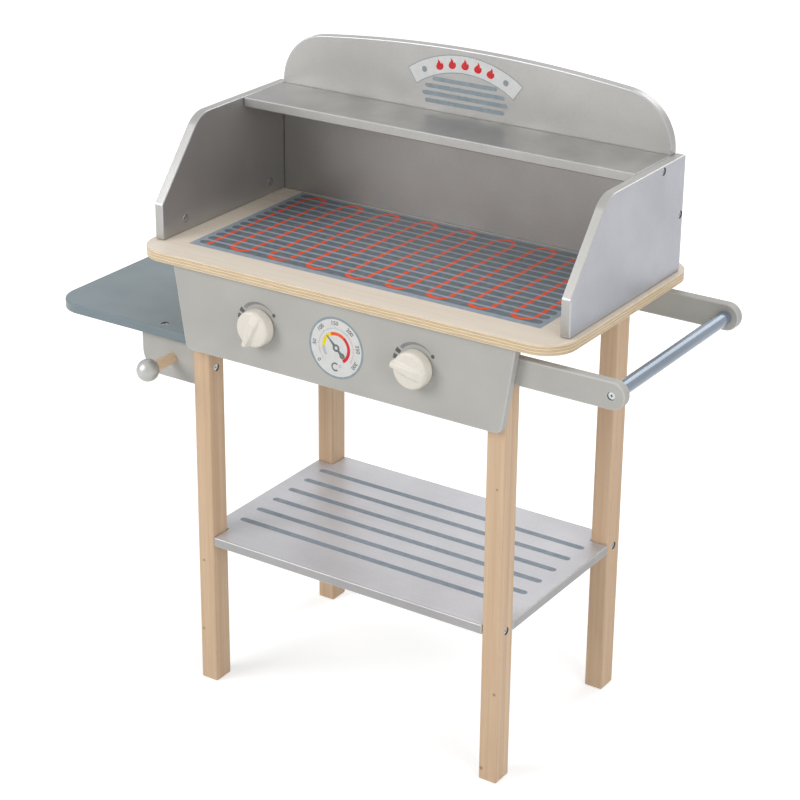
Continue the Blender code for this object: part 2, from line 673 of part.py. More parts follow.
def drive_handle_screws(bores, legs, arms, bar, steel, carrier):
    """Screws from inside the right legs into the arms, and through the arms into the bar's ends."""
    for row, y in (("front", BOARD / 2), ("rear", FRAME_DEPTH - BOARD / 2)):
        for level, sign in (("lower", -1), ("upper", 1)):
            name = f"arm_screw_{level}_{row}"
            point = Vector((LEG_INNER, y, ARM_MIDDLE + sign * ARM_SCREW_PITCH / 2))
            crossed = (legs[row, "right"], arms[row])
            drive(bores, name, ARM_SCREW, point, sideways(1), crossed, steel, carrier)
    for row, y, direction in (("front", 0, BACKWARD), ("rear", FRAME_DEPTH, FORWARD)):
        point = Vector((BAR_X, y, ARM_MIDDLE))
        crossed = (arms[row], bar)
        drive(bores, f"bar_screw_{row}", BAR_SCREW, point, direction, crossed, steel, carrier)


def drive_tray_screws(bores, legs, brackets, tray, steel, carrier):
    """Screws from inside the left legs into the brackets, and down through the tray into them."""
    for row, bracket in brackets.items():
        point = Vector((-LEG_INNER, ROWS[row], BRACKET_MIDDLE))
        crossed = (legs[row, "left"], bracket)
        name = f"bracket_screw_{row}"
        drive(bores, name, BRACKET_SCREW, point, sideways(-1), crossed, steel, carrier)
        point = Vector((-FRAME_SIDE - TRAY_SCREW_REACH, ROWS[row], TRAY_TOP))
        drive(bores, f"tray_screw_{row}", TRAY_SCREW, point, DOWN, (tray, bracket), steel, carrier)


def drive_hood_screws(bores, panels, shelf, back, steel, carrier):
    """Screws through each side panel: one into the shelf's end, one into the back board's edge."""
    shelf_place = (UPPER_SHELF_FRONT + UPPER_SHELF_DEPTH / 2, HOOD_TOP - BOARD / 2)
    back_place = (HOOD_REAR - BOARD / 2, TABLE_TOP + HOOD_HEIGHT / 2)
    for side, sign in SIDES.items():
        for board_name, board, (y, z) in (("shelf", shelf, shelf_place), ("back", back, back_place)):
            name = f"hood_screw_{board_name}_{side}"
            point = Vector((sign * HOOD_SIDE, y, z))
            crossed = (panels[side], board)
            drive(bores, name, HOOD_SCREW, point, sideways(-sign), crossed, steel, carrier)


def bolt_hood(bores, panels, table, steel, carrier):
    """Bolts up through the table top into barrel nuts that lie in the side panels."""
    nut_bore = rod_profile(NUT_RADIUS + GAP, -OVERRUN, NUT_LENGTH + GAP)
    bolt_bore = rod_profile(BOLT_RADIUS + GAP, 0, HOOD_BOLT.length + HOOD_BOLT.recess + GAP)
    for side, sign in SIDES.items():
        for row, y in (("front", HOOD_FRONT + NUT_INSET), ("rear", HOOD_REAR - NUT_INSET)):
            name = f"hood_barrel_nut_{row}_{side}"
            nut_place = pointing(Vector((sign * HOOD_INNER, y, TABLE_TOP + NUT_RISE)), sideways(sign))
            mesh = turned(name, rod_profile(NUT_RADIUS, 0, NUT_LENGTH), NUT_SIDES)
            nut = add_object(name, mesh, steel, carrier, nut_place)
            bores.add(panels[side], nut_bore, NUT_SIDES, nut_place)
            below = Vector((sign * (HOOD_SIDE - BOARD / 2), y, TABLE_UNDERSIDE))
            drive(bores, f"hood_bolt_{row}_{side}", HOOD_BOLT, below, UP, (table, nut), steel, carrier)
            bores.add(panels[side], bolt_bore, SMALL_SIDES, pointing(below, UP))


def dowel_legs(bores, legs, table, wood, carrier):
    """One dowel joins the end grain of each leg to the table top."""
    profile = rod_profile(DOWEL_RADIUS, -DOWEL_IN_LEG, DOWEL_IN_TABLE, DOWEL_EASE)
    bore = rod_profile(DOWEL_RADIUS + GAP, -DOWEL_IN_LEG - GAP, DOWEL_IN_TABLE + GAP)
    for (row, side), leg in legs.items():
        name = f"leg_dowel_{row}_{side}"
        place = pointing(Vector((SIDES[side] * LEG_MIDDLE, ROWS[row], TABLE_UNDERSIDE)), UP)
        add_object(name, turned(name, profile, SMALL_SIDES), wood, carrier, place)
        for piece in (leg, table):
            bores.add(piece, bore, SMALL_SIDES, place)


def build():
    """Model the whole grill."""
    clear_scene()
    beech = painted("leg_wood", (0.62, 0.45, 0.29), 0.55)
    plywood = painted("birch_plywood", (0.74, 0.63, 0.47), 0.5)
    dowel_wood = painted("dowel_wood", (0.66, 0.48, 0.30), 0.6)
    silver = painted("silver_paint", (0.52, 0.53, 0.52), 0.38, 0.6)
    grey = painted("grey_paint", (0.46, 0.46, 0.43), 0.6)
    blue_grey = painted("blue_grey_paint", (0.28, 0.35, 0.40), 0.45)
    ball_silver = painted("ball_silver", (0.55, 0.56, 0.55), 0.25, 0.8)
    off_white = painted("knob_white", (0.78, 0.75, 0.68), 0.4)
    steel = painted("zinc_steel", (0.6, 0.6, 0.58), 0.3, 1.0)

    frame = bpy.data.objects.new("grill_frame", None)
    frame.location = (GRILL_X, GRILL_Y, 0)
    bpy.context.scene.collection.objects.link(frame)

    bores = Bores(frame)
    legs = make_legs(beech, frame)
    lower_shelf = make_lower_shelf(silver, frame)
    table = make_table_top(plywood, frame)
    panel = make_control_panel(grey, frame)
    hood_sides = make_hood_sides(silver, frame)
    hood_back = make_hood_back(silver, frame)
    upper_shelf = make_upper_shelf(silver, frame)
    arms = make_handle_arms(grey, frame)
    bar = make_handle_bar(blue_grey, frame)
    brackets = make_tray_brackets(grey, frame)
    tray = make_side_tray(blue_grey, frame)
    make_peg(bores, brackets["front"], dowel_wood, ball_silver, frame)
    make_knobs(bores, panel, off_white, steel, frame)
    drive_frame_screws(bores, legs, lower_shelf, panel, steel, frame)
    drive_handle_screws(bores, legs, arms, bar, steel, frame)
    drive_tray_screws(bores, legs, brackets, tray, steel, frame)
    drive_hood_screws(bores, hood_sides, upper_shelf, hood_back, steel, frame)
    bolt_hood(bores, hood_sides, table, steel, frame)
    dowel_legs(bores, legs, table, dowel_wood, frame)
    bores.cut()


build()
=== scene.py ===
"""Look of the toy barbecue grill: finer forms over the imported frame, finishes, prints and studio light.

Lengths are millimetres in the grill frame: x is 0 midway between the legs, y is 0 at the front faces of
the front legs and z is 0 on the floor. A point goes to world metres as its mesh is made.
"""

import json
import math

import bmesh
import bpy
from mathutils import Matrix, Vector

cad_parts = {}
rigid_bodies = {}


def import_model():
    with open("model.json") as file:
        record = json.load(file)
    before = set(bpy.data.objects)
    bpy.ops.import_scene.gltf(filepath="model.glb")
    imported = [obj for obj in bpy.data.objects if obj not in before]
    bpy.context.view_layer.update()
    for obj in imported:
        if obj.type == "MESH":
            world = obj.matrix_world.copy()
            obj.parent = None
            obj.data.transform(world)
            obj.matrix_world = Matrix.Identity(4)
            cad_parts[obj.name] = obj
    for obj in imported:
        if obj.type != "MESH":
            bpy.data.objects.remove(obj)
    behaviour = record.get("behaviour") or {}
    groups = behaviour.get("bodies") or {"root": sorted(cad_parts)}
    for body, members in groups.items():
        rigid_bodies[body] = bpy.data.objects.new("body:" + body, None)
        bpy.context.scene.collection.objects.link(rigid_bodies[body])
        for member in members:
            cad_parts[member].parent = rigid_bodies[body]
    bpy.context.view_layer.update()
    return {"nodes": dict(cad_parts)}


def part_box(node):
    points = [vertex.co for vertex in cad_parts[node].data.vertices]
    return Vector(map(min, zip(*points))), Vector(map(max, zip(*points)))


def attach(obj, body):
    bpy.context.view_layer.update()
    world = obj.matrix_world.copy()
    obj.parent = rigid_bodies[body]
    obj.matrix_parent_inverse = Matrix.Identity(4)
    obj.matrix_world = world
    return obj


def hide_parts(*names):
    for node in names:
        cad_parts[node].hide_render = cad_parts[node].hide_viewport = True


for thing in list(bpy.data.objects):
    bpy.data.objects.remove(thing, do_unlink=True)
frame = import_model()

MM = 0.001
TABLE_OVERHANG = 17.5
TABLE_LOW, TABLE_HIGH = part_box("table_top")
ORIGIN = Vector(((TABLE_LOW.x + TABLE_HIGH.x) / 2, TABLE_LOW.y + TABLE_OVERHANG * MM, 0))

ARC_STEP = math.radians(3.0)
SHARP_ANGLE = math.radians(35.0)
ROUND_SIDES = 96
SCREW_SIDES = 48
EDGE_SEGMENTS = 4
BOARD_EDGE = 1.5
LEG_EDGE = 2.0
TABLE_EDGE = 0.8
TABLE_CORNER = 37.0
TABLE_PLIES = 7
PANEL_FLARE = 16.0
PANEL_CORNER = 8.0
HOOD_LIP = 43.5
HOOD_SLOPE_RUN = 75.5
HOOD_BEND = 36.5
CROWN_RADIUS = 1755.0
CROWN_STEPS = 40
SHOULDER_RADIUS = 64.0
TRAY_CORNER = 37.0
BRACKET_CORNER = 29.0
BALL_RADIUS = 13.6
ROD_EDGE = 0.4
FIT_GAP = 0.3
BORE_RADIUS = 4.6
BORE_DEPTH = 3.0
BORE_OVERRUN = 1.0
NUT_BORE_RADIUS = 4.8
NUT_BORE_DEPTH = 10.3
EDGE_INDEX, BORE_INDEX, PAINTED_LIGHT_INDEX = 1, 2, 3
FACING = 0.9
BLEND_CELL = 0.45
SOFTEN_SHARE = 0.5
KNOB_BLEND = 32

KNOB_RADIUS = 21.6
KNOB_RIM = 16.0
KNOB_DOME = 1.5
KNOB_EDGE = 3.8
KNOB_FACE_EDGE = KNOB_RADIUS - KNOB_EDGE
KNOB_FOOT = 0.3
FACE_FIRST, FACE_PITCH, FACE_RINGS = 0.95, 0.095, 10
GRIP_TAIL_WIDTH = 12.0
GRIP_NOSE_WIDTH = 8.5
GRIP_HEIGHT = 20.5
GRIP_NOSE = 23.0
GRIP_TAIL = 19.5
GRIP_UNDERSIDE = 11.0
GRIP_FLARE = 2.6
GRIP_FADE = 6.0
GRIP_DRAFT = 0.6
GRIP_SINK = 0.2
GRIP_ROUND = 1.2
GRIP_SHOULDER = 2.2
GRIP_DROP = 3.6
GRIP_DROP_START = 6.0
GRIP_SEGMENTS = 8
KNOB_TURNS = {"left": 246.0, "right": 167.5}

SIDES = {"left": -1, "right": 1}
ROWS = ("front", "rear")
LEVELS = ("lower", "upper")
HOOD_SCREWS = ("shelf", "back")


def span(node):
    """A node's lowest and highest corners in the grill frame."""
    return tuple((Vector(corner) - ORIGIN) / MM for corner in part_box(node))


def middle(node):
    """The middle of a node's box in the grill frame."""
    low, high = span(node)
    return (low + high) / 2


def world(point):
    """A point of the grill frame in world metres."""
    return ORIGIN + Vector(point) * MM


# Outlines


def arc(centre, radius, start, end, steps=None):
    """Points on a circle from one angle to another."""
    steps = steps or max(2, math.ceil(abs(end - start) / ARC_STEP))
    angles = [start + (end - start) * step / steps for step in range(steps + 1)]
    return [(centre[0] + radius * math.cos(angle), centre[1] + radius * math.sin(angle)) for angle in angles]


def rounded(corners):
    """An anticlockwise outline from corners (u, v, radius)."""
    points = []
    for index, (u, v, radius) in enumerate(corners):
        if radius == 0:
            points.append((u, v))
            continue
        corner = Vector((u, v))
        back = (Vector(corners[index - 1][:2]) - corner).normalized()
        ahead = (Vector(corners[(index + 1) % len(corners)][:2]) - corner).normalized()
        half = back.angle(ahead) / 2
        centre = corner + (back + ahead).normalized() * radius / math.sin(half)
        first = corner + back * radius / math.tan(half) - centre
        start = math.atan2(first.y, first.x)
        points += arc(centre, radius, start, start + math.pi - 2 * half)
    return points


def around(centre, radius, angle):
    """The point on a circle at an angle in degrees."""
    turn = math.radians(angle)
    return (centre[0] + radius * math.cos(turn), centre[1] + radius * math.sin(turn))


def placed(points, centre, angle):
    """Points turned anticlockwise by an angle in degrees and moved to a centre."""
    sine, cosine = math.sin(math.radians(angle)), math.cos(math.radians(angle))
    return [(centre[0] + u * cosine - v * sine, centre[1] + u * sine + v * cosine) for u, v in points]


def plate(node, axis, radii=(0, 0, 0, 0)):
    """A node's box as an outline square to an axis, with a radius for each of its four corners."""
    low, high = span(node)
    u, v = (index for index in range(3) if index != axis)
    corners = ((low[u], low[v]), (high[u], low[v]), (high[u], high[v]), (low[u], high[v]))
    return rounded([(*corner, radius) for corner, radius in zip(corners, radii)])


def lay(axis, u, v, w):
    """A point from its place in the plane square to an axis, and its place along that axis."""
    return ((w, u, v), (u, w, v), (u, v, w))[axis]


# Solids


def to_mesh(name, shape, solid=True):
    """Turn a bmesh in the grill frame into a mesh in world metres, a solid's faces all turned outward."""
    if solid:
        bmesh.ops.recalc_face_normals(shape, faces=shape.faces)
    for vert in shape.verts:
        vert.co = world(vert.co)
    mesh = bpy.data.meshes.new(name)
    shape.to_mesh(mesh)
    shape.free()
    return mesh


def add_turned(shape, profile, sides, place):
    """Add a solid turned about z from (radius, height) points, placed by a matrix."""
    rows = []
    for radius, height in profile:
        if radius == 0:
            rows.append([shape.verts.new(place @ Vector((0, 0, height)))])
            continue
        circle = arc((0, 0), radius, 0, 2 * math.pi, sides)[:-1]
        rows.append([shape.verts.new(place @ Vector((u, v, height))) for u, v in circle])
    for low, high in zip(rows, rows[1:]):
        for side in range(sides):
            after = (side + 1) % sides
            corners = [low[side % len(low)], low[after % len(low)], high[after % len(high)],
                       high[side % len(high)]]
            shape.faces.new(list(dict.fromkeys(corners)))


def turned(name, profile, sides, place):
    """One turned solid as a mesh."""
    shape = bmesh.new()
    add_turned(shape, profile, sides, place)
    return to_mesh(name, shape)


def loft(name, sections):
    """Sections of as many points each, joined in order and closed at both ends."""
    shape = bmesh.new()
    rings = [[shape.verts.new(point) for point in section] for section in sections]
    for near, far in zip(rings, rings[1:]):
        for corners in zip(near, near[1:] + near[:1], far[1:] + far[:1], far):
            shape.faces.new(corners)
    shape.faces.new(rings[0])
    shape.faces.new(rings[-1])
    return to_mesh(name, shape)


def pointing(point, direction):
    """The place of a turned solid whose z axis starts at a point and runs in a direction."""
    turn = Vector(direction).to_track_quat("Z", "Y").to_matrix().to_4x4()
    return Matrix.Translation(Vector(point)) @ turn


def add_object(name, data):
    """Put a mesh, lamp, lens or text into the scene."""
    thing = bpy.data.objects.new(name, data)
    bpy.context.scene.collection.objects.link(thing)
    return thing


def worked(mesh, edge=0.0, cutter=None, added=None, soften=0):
    """A mesh with its edges rounded, a cutter taken out of it or a solid joined to it and blended in."""
    name = mesh.name
    blank = add_object(name, mesh)
    helpers = [blank]
    if edge:
        bevel = blank.modifiers.new("edge", "BEVEL")
        bevel.width = edge * MM
        bevel.segments = EDGE_SEGMENTS
        bevel.limit_method = "ANGLE"
        bevel.angle_limit = SHARP_ANGLE
        bevel.material = EDGE_INDEX
    for other, operation in ((cutter, "DIFFERENCE"), (added, "UNION")):
        if other:
            helper = add_object(other.name, other)
            helpers.append(helper)
            boolean = blank.modifiers.new("solid", "BOOLEAN")
            boolean.operation = operation
            boolean.object = helper
    if soften:
        remesh = blank.modifiers.new("blend", "REMESH")
        remesh.mode = "VOXEL"
        remesh.voxel_size = BLEND_CELL * MM
        smooth = blank.modifiers.new("soften", "SMOOTH")
        smooth.factor = SOFTEN_SHARE
        smooth.iterations = soften
    graph = bpy.context.evaluated_depsgraph_get()
    result = bpy.data.meshes.new_from_object(blank.evaluated_get(graph))
    for helper in helpers:
        bpy.data.objects.remove(helper, do_unlink=True)
    result.name = name
    return result


def entry(node, direction, point):
    """A point moved to the face where a direction along one axis enters a node's box."""
    low, high = span(node)
    faces = {1: low, -1: high}
    return Vector([faces[way][axis] if way else point[axis] for axis, way in enumerate(direction)])


def bores(node, screws, nuts=()):
    """One cutter for a board, with a blind bore for each (fastener, direction into the wood)."""
    shape = bmesh.new()
    kinds = ((screws, BORE_RADIUS, BORE_DEPTH), (nuts, NUT_BORE_RADIUS, NUT_BORE_DEPTH))
    for fasteners, radius, depth in kinds:
        profile = [(0, -BORE_OVERRUN), (radius, -BORE_OVERRUN), (radius, depth), (0, depth)]
        for name, direction in fasteners:
            place = pointing(entry(node, direction, middle(name)), direction)
            add_turned(shape, profile, SCREW_SIDES, place)
    return to_mesh("bores", shape)


def piece(name, mesh, finish, node, body="grill", place=None):
    """Show a mesh as a piece that rides on a body and stands for a CAD node."""
    if not mesh.materials:
        mesh.materials.append(finish)
    mesh.shade_smooth()
    mesh.set_sharp_from_angle(angle=SHARP_ANGLE)
    thing = add_object(name, mesh)
    if place:
        thing.matrix_world = place
    normals = thing.modifiers.new("normals", "WEIGHTED_NORMAL")
    normals.keep_sharp = True
    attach(thing, body)
    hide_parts(node)


def turned_piece(node, ending, profile, start, direction, finish):
    """A turned piece over its CAD node, its profile's heights measured from a start in a direction."""
    name = f"{node}_{ending}"
    piece(name, turned(name, profile, ROUND_SIDES, pointing(start, direction)), finish, node)


def rod(node, direction, edge, finish):
    """A rod over its CAD node, from the end where a direction along y enters, its edges cut back."""
    low, high = span(node)
    radius, length = (high.z - low.z) / 2, high.y - low.y
    profile = [(0, 0), (radius - edge, 0), (radius, edge), (radius, length - edge), (radius - edge, length),
               (0, length)]
    start = entry(node, direction, middle(node))
    turned_piece(node, "rod", list(dict.fromkeys(profile)), start, direction, finish)


def board(node, finishes, outline, axis, edge=BOARD_EDGE, cutter=None, show=None, name=None):
    """A board over its CAD node: an outline as thick as the node's box along one axis.

    The finishes are those of the faces and of the rounded edges, where a lighter edge paint is a painted
    highlight.
    Bores get a dark one, painted shade in the recess, and the face that looks along the axis gets its own
    where one is
    given: painted light where it is lighter than the paint and painted shade where it is darker.
    """
    name = name or node + "_board"
    low, high = span(node)
    mesh = loft(name, [[lay(axis, u, v, box[axis]) for u, v in outline] for box in (low, high)])
    for finish in (*finishes, bore_shade, show or finishes[0]):
        mesh.materials.append(finish)
    # Bore walls take the dark finish: painted shade in the recesses.
    if cutter:
        for face in cutter.polygons:
            face.material_index = BORE_INDEX
    mesh = worked(mesh, edge, cutter)
    # The face that looks along the axis takes its own copy of the paint: painted light where lighter,
    # painted shade where darker.
    for face in mesh.polygons:
        if face.normal[axis] > FACING and face.material_index == 0:
            face.material_index = PAINTED_LIGHT_INDEX
    piece(name, mesh, None, node)


# Finishes


def tone(red, green, blue):
    """A colour as it shows on screen, in the linear numbers that a shader takes."""
    shares = [value / 255 for value in (red, green, blue)]
    return (*[s / 12.92 if s <= 0.04045 else ((s + 0.055) / 1.055) ** 2.4 for s in shares], 1.0)


def shaded(colour, factor, lift=0.0):
    """A colour made lighter or darker."""
    return (*[min(1.0, value * factor + lift) for value in colour[:3]], 1.0)


def add_node(tree, kind, inputs=None, **settings):
    """Add a node to a tree, with numbers set on its sockets and sockets linked to them."""
    node = tree.nodes.new(kind)
    for key, value in settings.items():
        setattr(node, key, value)
    for key, value in (inputs or {}).items():
        if isinstance(value, bpy.types.NodeSocket):
            tree.links.new(value, node.inputs[key])
        else:
            node.inputs[key].default_value = value
    return node


NOISE_LOW, NOISE_HIGH = 0.3, 0.7
INK_ROUGHNESS = 0.42
KNOT_RAGGED = 0.9
PLY_WAVE = 0.5
BLACK = (0.0, 0.0, 0.0, 1.0)
KNOT_BROWN = tone(120, 78, 45)


class Finish:
    """One material while its nodes are wired."""

    def __init__(self, name, roughness, metallic=0.0):
        self.material = bpy.data.materials.new(name)
        self.material.use_nodes = True
        self.tree = self.material.node_tree
        self.shader = self.tree.nodes["Principled BSDF"]
        self.shader.inputs["Metallic"].default_value = metallic
        self.shader.inputs["Roughness"].default_value = roughness
        self.place = self.node("ShaderNodeTexCoord").outputs["Object"]

    def node(self, kind, inputs=None, **settings):
        """Add a node to the material."""
        return add_node(self.tree, kind, inputs, **settings)

    def noise(self, scale, detail=4.0, roughness=0.55, shift=(0, 0, 0)):
        """Noise with a number of features a metre: one for all three axes, or one for each."""
        scales = scale if isinstance(scale, tuple) else (scale, scale, scale)
        mapping = self.node("ShaderNodeMapping", {"Vector": self.place, "Scale": scales, "Location": shift})
        return self.node("ShaderNodeTexNoise", {"Vector": mapping.outputs["Vector"], "Scale": 1.0,
                                                "Detail": detail, "Roughness": roughness}).outputs["Fac"]

    def spread(self, value, low=NOISE_LOW, high=NOISE_HIGH, to_low=0.0, to_high=1.0):
        """A value's range mapped to another and held inside it."""
        return self.node("ShaderNodeMapRange", {"Value": value, "From Min": low, "From Max": high,
                                                "To Min": to_low, "To Max": to_high}).outputs["Result"]

    def math(self, operation, first, second=0.0):
        """One sum on numbers or sockets."""
        return self.node("ShaderNodeMath", {0: first, 1: second}, operation=operation).outputs["Value"]

    def mix(self, share, first, second, kind="MIX"):
        """Two colours mixed."""
        return self.node("ShaderNodeMix", {0: share, 6: first, 7: second}, data_type="RGBA",
                         blend_type=kind).outputs[2]

    def blend(self, value, first, second, *reach, **limits):
        """Two colours mixed by how far a value has come through a range."""
        return self.mix(self.spread(value, *reach, **limits), first, second)

    def use(self, socket, value):
        """Link a value to one of the shader's sockets."""
        self.tree.links.new(value, self.shader.inputs[socket])

    def done(self, colour, value, low, high, *layers):
        """The material: a colour, a roughness that follows a value, and (value, millimetres) bumps."""
        self.use("Base Color", colour)
        self.use("Roughness", self.spread(value, to_low=low, to_high=high))
        normal = None
        for value, height in layers:
            node = self.node("ShaderNodeBump", {"Height": value, "Strength": 1.0, "Distance": height * MM})
            if normal:
                self.tree.links.new(normal, node.inputs["Normal"])
            normal = node.outputs["Normal"]
        self.use("Normal", normal)
        return self.material


def painted(name, colour, roughness, metallic=0.0, grain=0.012, wear=0.0, streaks=None):
    """Sprayed paint: soft clouds of colour, fine orange peel and, on rounded edges, thinner paint."""
    finish = Finish(name, roughness, metallic)
    clouds = finish.noise(9, 3)
    fine = finish.noise(900, 3)
    dark = shaded(colour, 0.94)
    base = finish.blend(clouds, dark, shaded(colour, 1.05), 0.35, 0.65)
    base = finish.blend(fine, base, BLACK, to_high=0.10)
    if wear:
        base = finish.blend(finish.noise(160, 5), base, shaded(colour, 1.35, 0.05), 0.50, 0.62, 0.0, wear)
    layers = [(finish.noise(420, 2), grain * 1.6), (fine, grain)]
    if streaks:
        lines = finish.noise(streaks, 5, 0.65)
        base = finish.mix(finish.spread(lines, to_high=0.22), base, dark, "MULTIPLY")
        layers.append((lines, grain * 2.0))
    return finish.done(base, finish.noise(26, 4, 0.6), roughness - 0.05, roughness + 0.06, *layers)


def wood(name, pale, deep, along, knots=()):
    """Fine-grained sanded wood, its grain along one axis, with short flecks and small knots."""
    finish = Finish(name, 0.5)

    def stretched(across, length):
        return tuple(length if axis == along else across for axis in range(3))

    rings = finish.noise(stretched(150, 2.2), 5, 0.6)
    fibres = finish.noise(stretched(1400, 16), 3)
    flecks = finish.noise(stretched(1100, 190), 2, 0.4, (3.1, 1.7, 5.3))
    patches = finish.noise(stretched(40, 9), 3)
    brown = shaded(deep, 0.72)
    base = finish.blend(rings, pale, deep, 0.32, 0.68)
    base = finish.blend(fibres, base, brown, 0.4, 0.75, 0.0, 0.28)
    base = finish.blend(flecks, base, brown, 0.64, 0.72, 0.0, 0.30)
    base = finish.blend(patches, base, deep, 0.35, 0.7, 0.0, 0.20)
    for point, radius in knots:
        apart = finish.node("ShaderNodeVectorMath", {0: finish.place, 1: tuple(world(point))},
                            operation="DISTANCE").outputs["Value"]
        ragged = finish.math("ADD", apart, finish.math("MULTIPLY", fibres, KNOT_RAGGED * MM))
        base = finish.blend(ragged, base, KNOT_BROWN, radius * MM * 0.6, radius * MM * 1.9, 0.75, 0.0)
    return finish.done(base, rings, 0.46, 0.60, (fibres, 0.05), (rings, 0.03))


def plywood(name):
    """Birch plywood: pale faces with grain along x, and edges that show the plies by their height."""
    finish = Finish(name, 0.45)
    low, high = span("table_top")
    rings = finish.noise((3.0, 95, 95), 5, 0.6)
    fibres = finish.noise((22, 1300, 1300), 3)
    pores = finish.noise((150, 1500, 1500), 2, 0.4, (2.0, 7.0, 1.0))
    face = finish.blend(rings, tone(234, 224, 211), tone(226, 213, 195))
    face = finish.blend(fibres, face, tone(190, 168, 139), 0.4, 0.75, 0.0, 0.18)
    face = finish.blend(pores, face, tone(170, 140, 105), 0.66, 0.74, 0.0, 0.25)

    height = finish.node("ShaderNodeSeparateXYZ", {0: finish.place}).outputs["Z"]
    waves = finish.math("MULTIPLY", finish.noise(7, 2), PLY_WAVE * MM)
    level = finish.spread(finish.math("ADD", height, waves), low.z * MM, high.z * MM, 0.0, TABLE_PLIES)
    within = finish.math("FRACT", level)
    from_glue = finish.math("MINIMUM", within, finish.math("SUBTRACT", 1.0, within))
    broken = finish.spread(finish.noise((55, 55, 700), 3, 0.6, (4.0, 1.0, 2.0)), 0.40, 0.60, 0.25, 0.95)
    glue = finish.math("MULTIPLY", finish.spread(from_glue, 0.05, 0.16, 1.0, 0.0), broken)
    odd = finish.math("GREATER_THAN", finish.math("MODULO", level, 2.0), 1.0)
    long_ply = finish.blend(finish.noise((30, 30, 1600), 4, 0.6), tone(236, 221, 194), tone(224, 203, 168))
    end_ply = finish.blend(finish.noise(1500, 3), tone(219, 197, 161), tone(204, 178, 139))
    edge = finish.mix(glue, finish.mix(odd, long_ply, end_ply), tone(138, 102, 66))

    normal = finish.node("ShaderNodeNewGeometry").outputs["Normal"]
    upward = finish.math("ABSOLUTE", finish.node("ShaderNodeSeparateXYZ", {0: normal}).outputs["Z"])
    base = finish.blend(upward, edge, face, 0.55, 0.85)
    return finish.done(base, rings, 0.38, 0.52, (fibres, 0.04), (rings, 0.03))


def steel(name, colour, roughness):
    """Zinc-plated steel with faint blotches of passivation and fine tool marks."""
    finish = Finish(name, roughness, 1.0)
    cooler = (*[value * share for value, share in zip(colour[:3], (0.82, 0.85, 0.9))], 1.0)
    base = finish.blend(finish.noise(700, 3), colour, cooler)
    marks = finish.noise(2600, 2)
    return finish.done(base, marks, roughness - 0.08, roughness + 0.1, (marks, 0.012))


def ink(name, colour, strength=0.07):
    """Screen-printed ink: a slightly uneven film with the fine mesh of the screen in it."""
    finish = Finish(name, INK_ROUGHNESS)
    finish.shader.inputs["Specular IOR Level"].default_value = 0.2
    thick, thin = shaded(colour, 1 - strength), shaded(colour, 1 - strength, strength)
    base = finish.blend(finish.noise(120, 4), thick, thin)
    grain = finish.noise(2200, 2)
    return finish.done(base, grain, INK_ROUGHNESS - 0.05, INK_ROUGHNESS + 0.08, (grain, 0.006))


BLUE_GREY = tone(119, 133, 139)
SHELF_STREAKS = (5, 900, 900)
FIRM = 0.03

KNOTS = [((207.1, 0, 116.4), 1.6), ((192.7, 0, 14.9), 1.9), ((-204.7, 0, 164.3), 1.4),
         ((-207.7, 0, 69.3), 1.5), ((203.7, 0, 371.6), 1.3), ((204.0, 28, 330.0), 1.7),
         ((-206.0, 279, 140.0), 1.8)]

leg_wood = wood("leg_wood", tone(221, 193, 162), tone(203, 171, 138), 2, KNOTS)
birch = plywood("birch_plywood")
peg_wood = wood("dowel_wood", tone(229, 205, 174), tone(211, 181, 145), 1)
silver = painted("silver_paint", tone(175, 174, 171), 0.40, 0.65, grain=0.005)
# A cooler, lighter copy of the silver paint for the right hood panel's outer face: painted cool light on
# that side.
silver_painted_cool_light = painted("silver_paint_right_painted_cool_light", tone(179, 181, 187), 0.40, 0.65, grain=0.005)
# A darker copy of the silver paint for the upper shelf's top: painted shade.
silver_painted_shade = painted("silver_paint_shelf_top_painted_shade", tone(153, 152, 151), 0.36, 0.8, grain=0.005)
# Rounded edges of the silver boards: flecks of wear, and a tone lighter than the faces that is a painted
# highlight.
silver_edge_painted_highlight = painted("silver_paint_edge_painted_highlight", tone(186, 186, 188), 0.34, 0.75, grain=0.005, wear=0.04)
# A lighter copy of the silver paint, with its real streaks, for the lower shelf's top: painted light against
# the shade of the table above.
silver_streaked_painted_light = painted("silver_paint_streaked_painted_light", tone(217, 217, 222), 0.42, 0.5, grain=0.006,
                         streaks=SHELF_STREAKS)
# A darker copy of the silver paint for the lower shelf's sides and underside and the upper shelf's rounded
# edges: painted shade.
silver_side_painted_shade = painted("silver_shelf_side_painted_shade", tone(169, 168, 168), 0.45, 0.5, grain=0.006)
# Rounded edges of the lower shelf: flecks of wear, and a tone between its lit top and shaded sides that is
# painted light.
silver_shelf_edge_painted_light = painted("silver_shelf_edge_painted_light", tone(190, 190, 191), 0.42, 0.5, grain=0.01, wear=0.06)
grey = painted("grey_paint", tone(182, 181, 176), 0.58)
# Rounded edges of the grey boards: flecks of wear, and a tone lighter than the faces that is a painted
# highlight.
grey_edge_painted_highlight = painted("grey_paint_edge", tone(196, 195, 193), 0.5, grain=0.02, wear=0.08)
blue_grey = painted("blue_grey_paint", BLUE_GREY, 0.34, grain=0.006)
blue_grey_edge = painted("blue_grey_paint_edge", BLUE_GREY, 0.5, grain=0.03, wear=0.12)
bar_gloss = painted("blue_grey_gloss", tone(134, 147, 161), 0.13, 0.35, grain=0.002)
ball_paint = painted("ball_silver", tone(184, 185, 181), 0.40, 0.7, grain=0.006)
knob_paint = painted("knob_white", tone(231, 225, 214), 0.36, grain=0.010)
# A dark grey for the walls of the screw bores: painted shade in the recesses.
bore_shade = painted("bore_shade", tone(104, 108, 110), 0.7)
zinc = steel("zinc_steel", tone(200, 205, 204), 0.30)

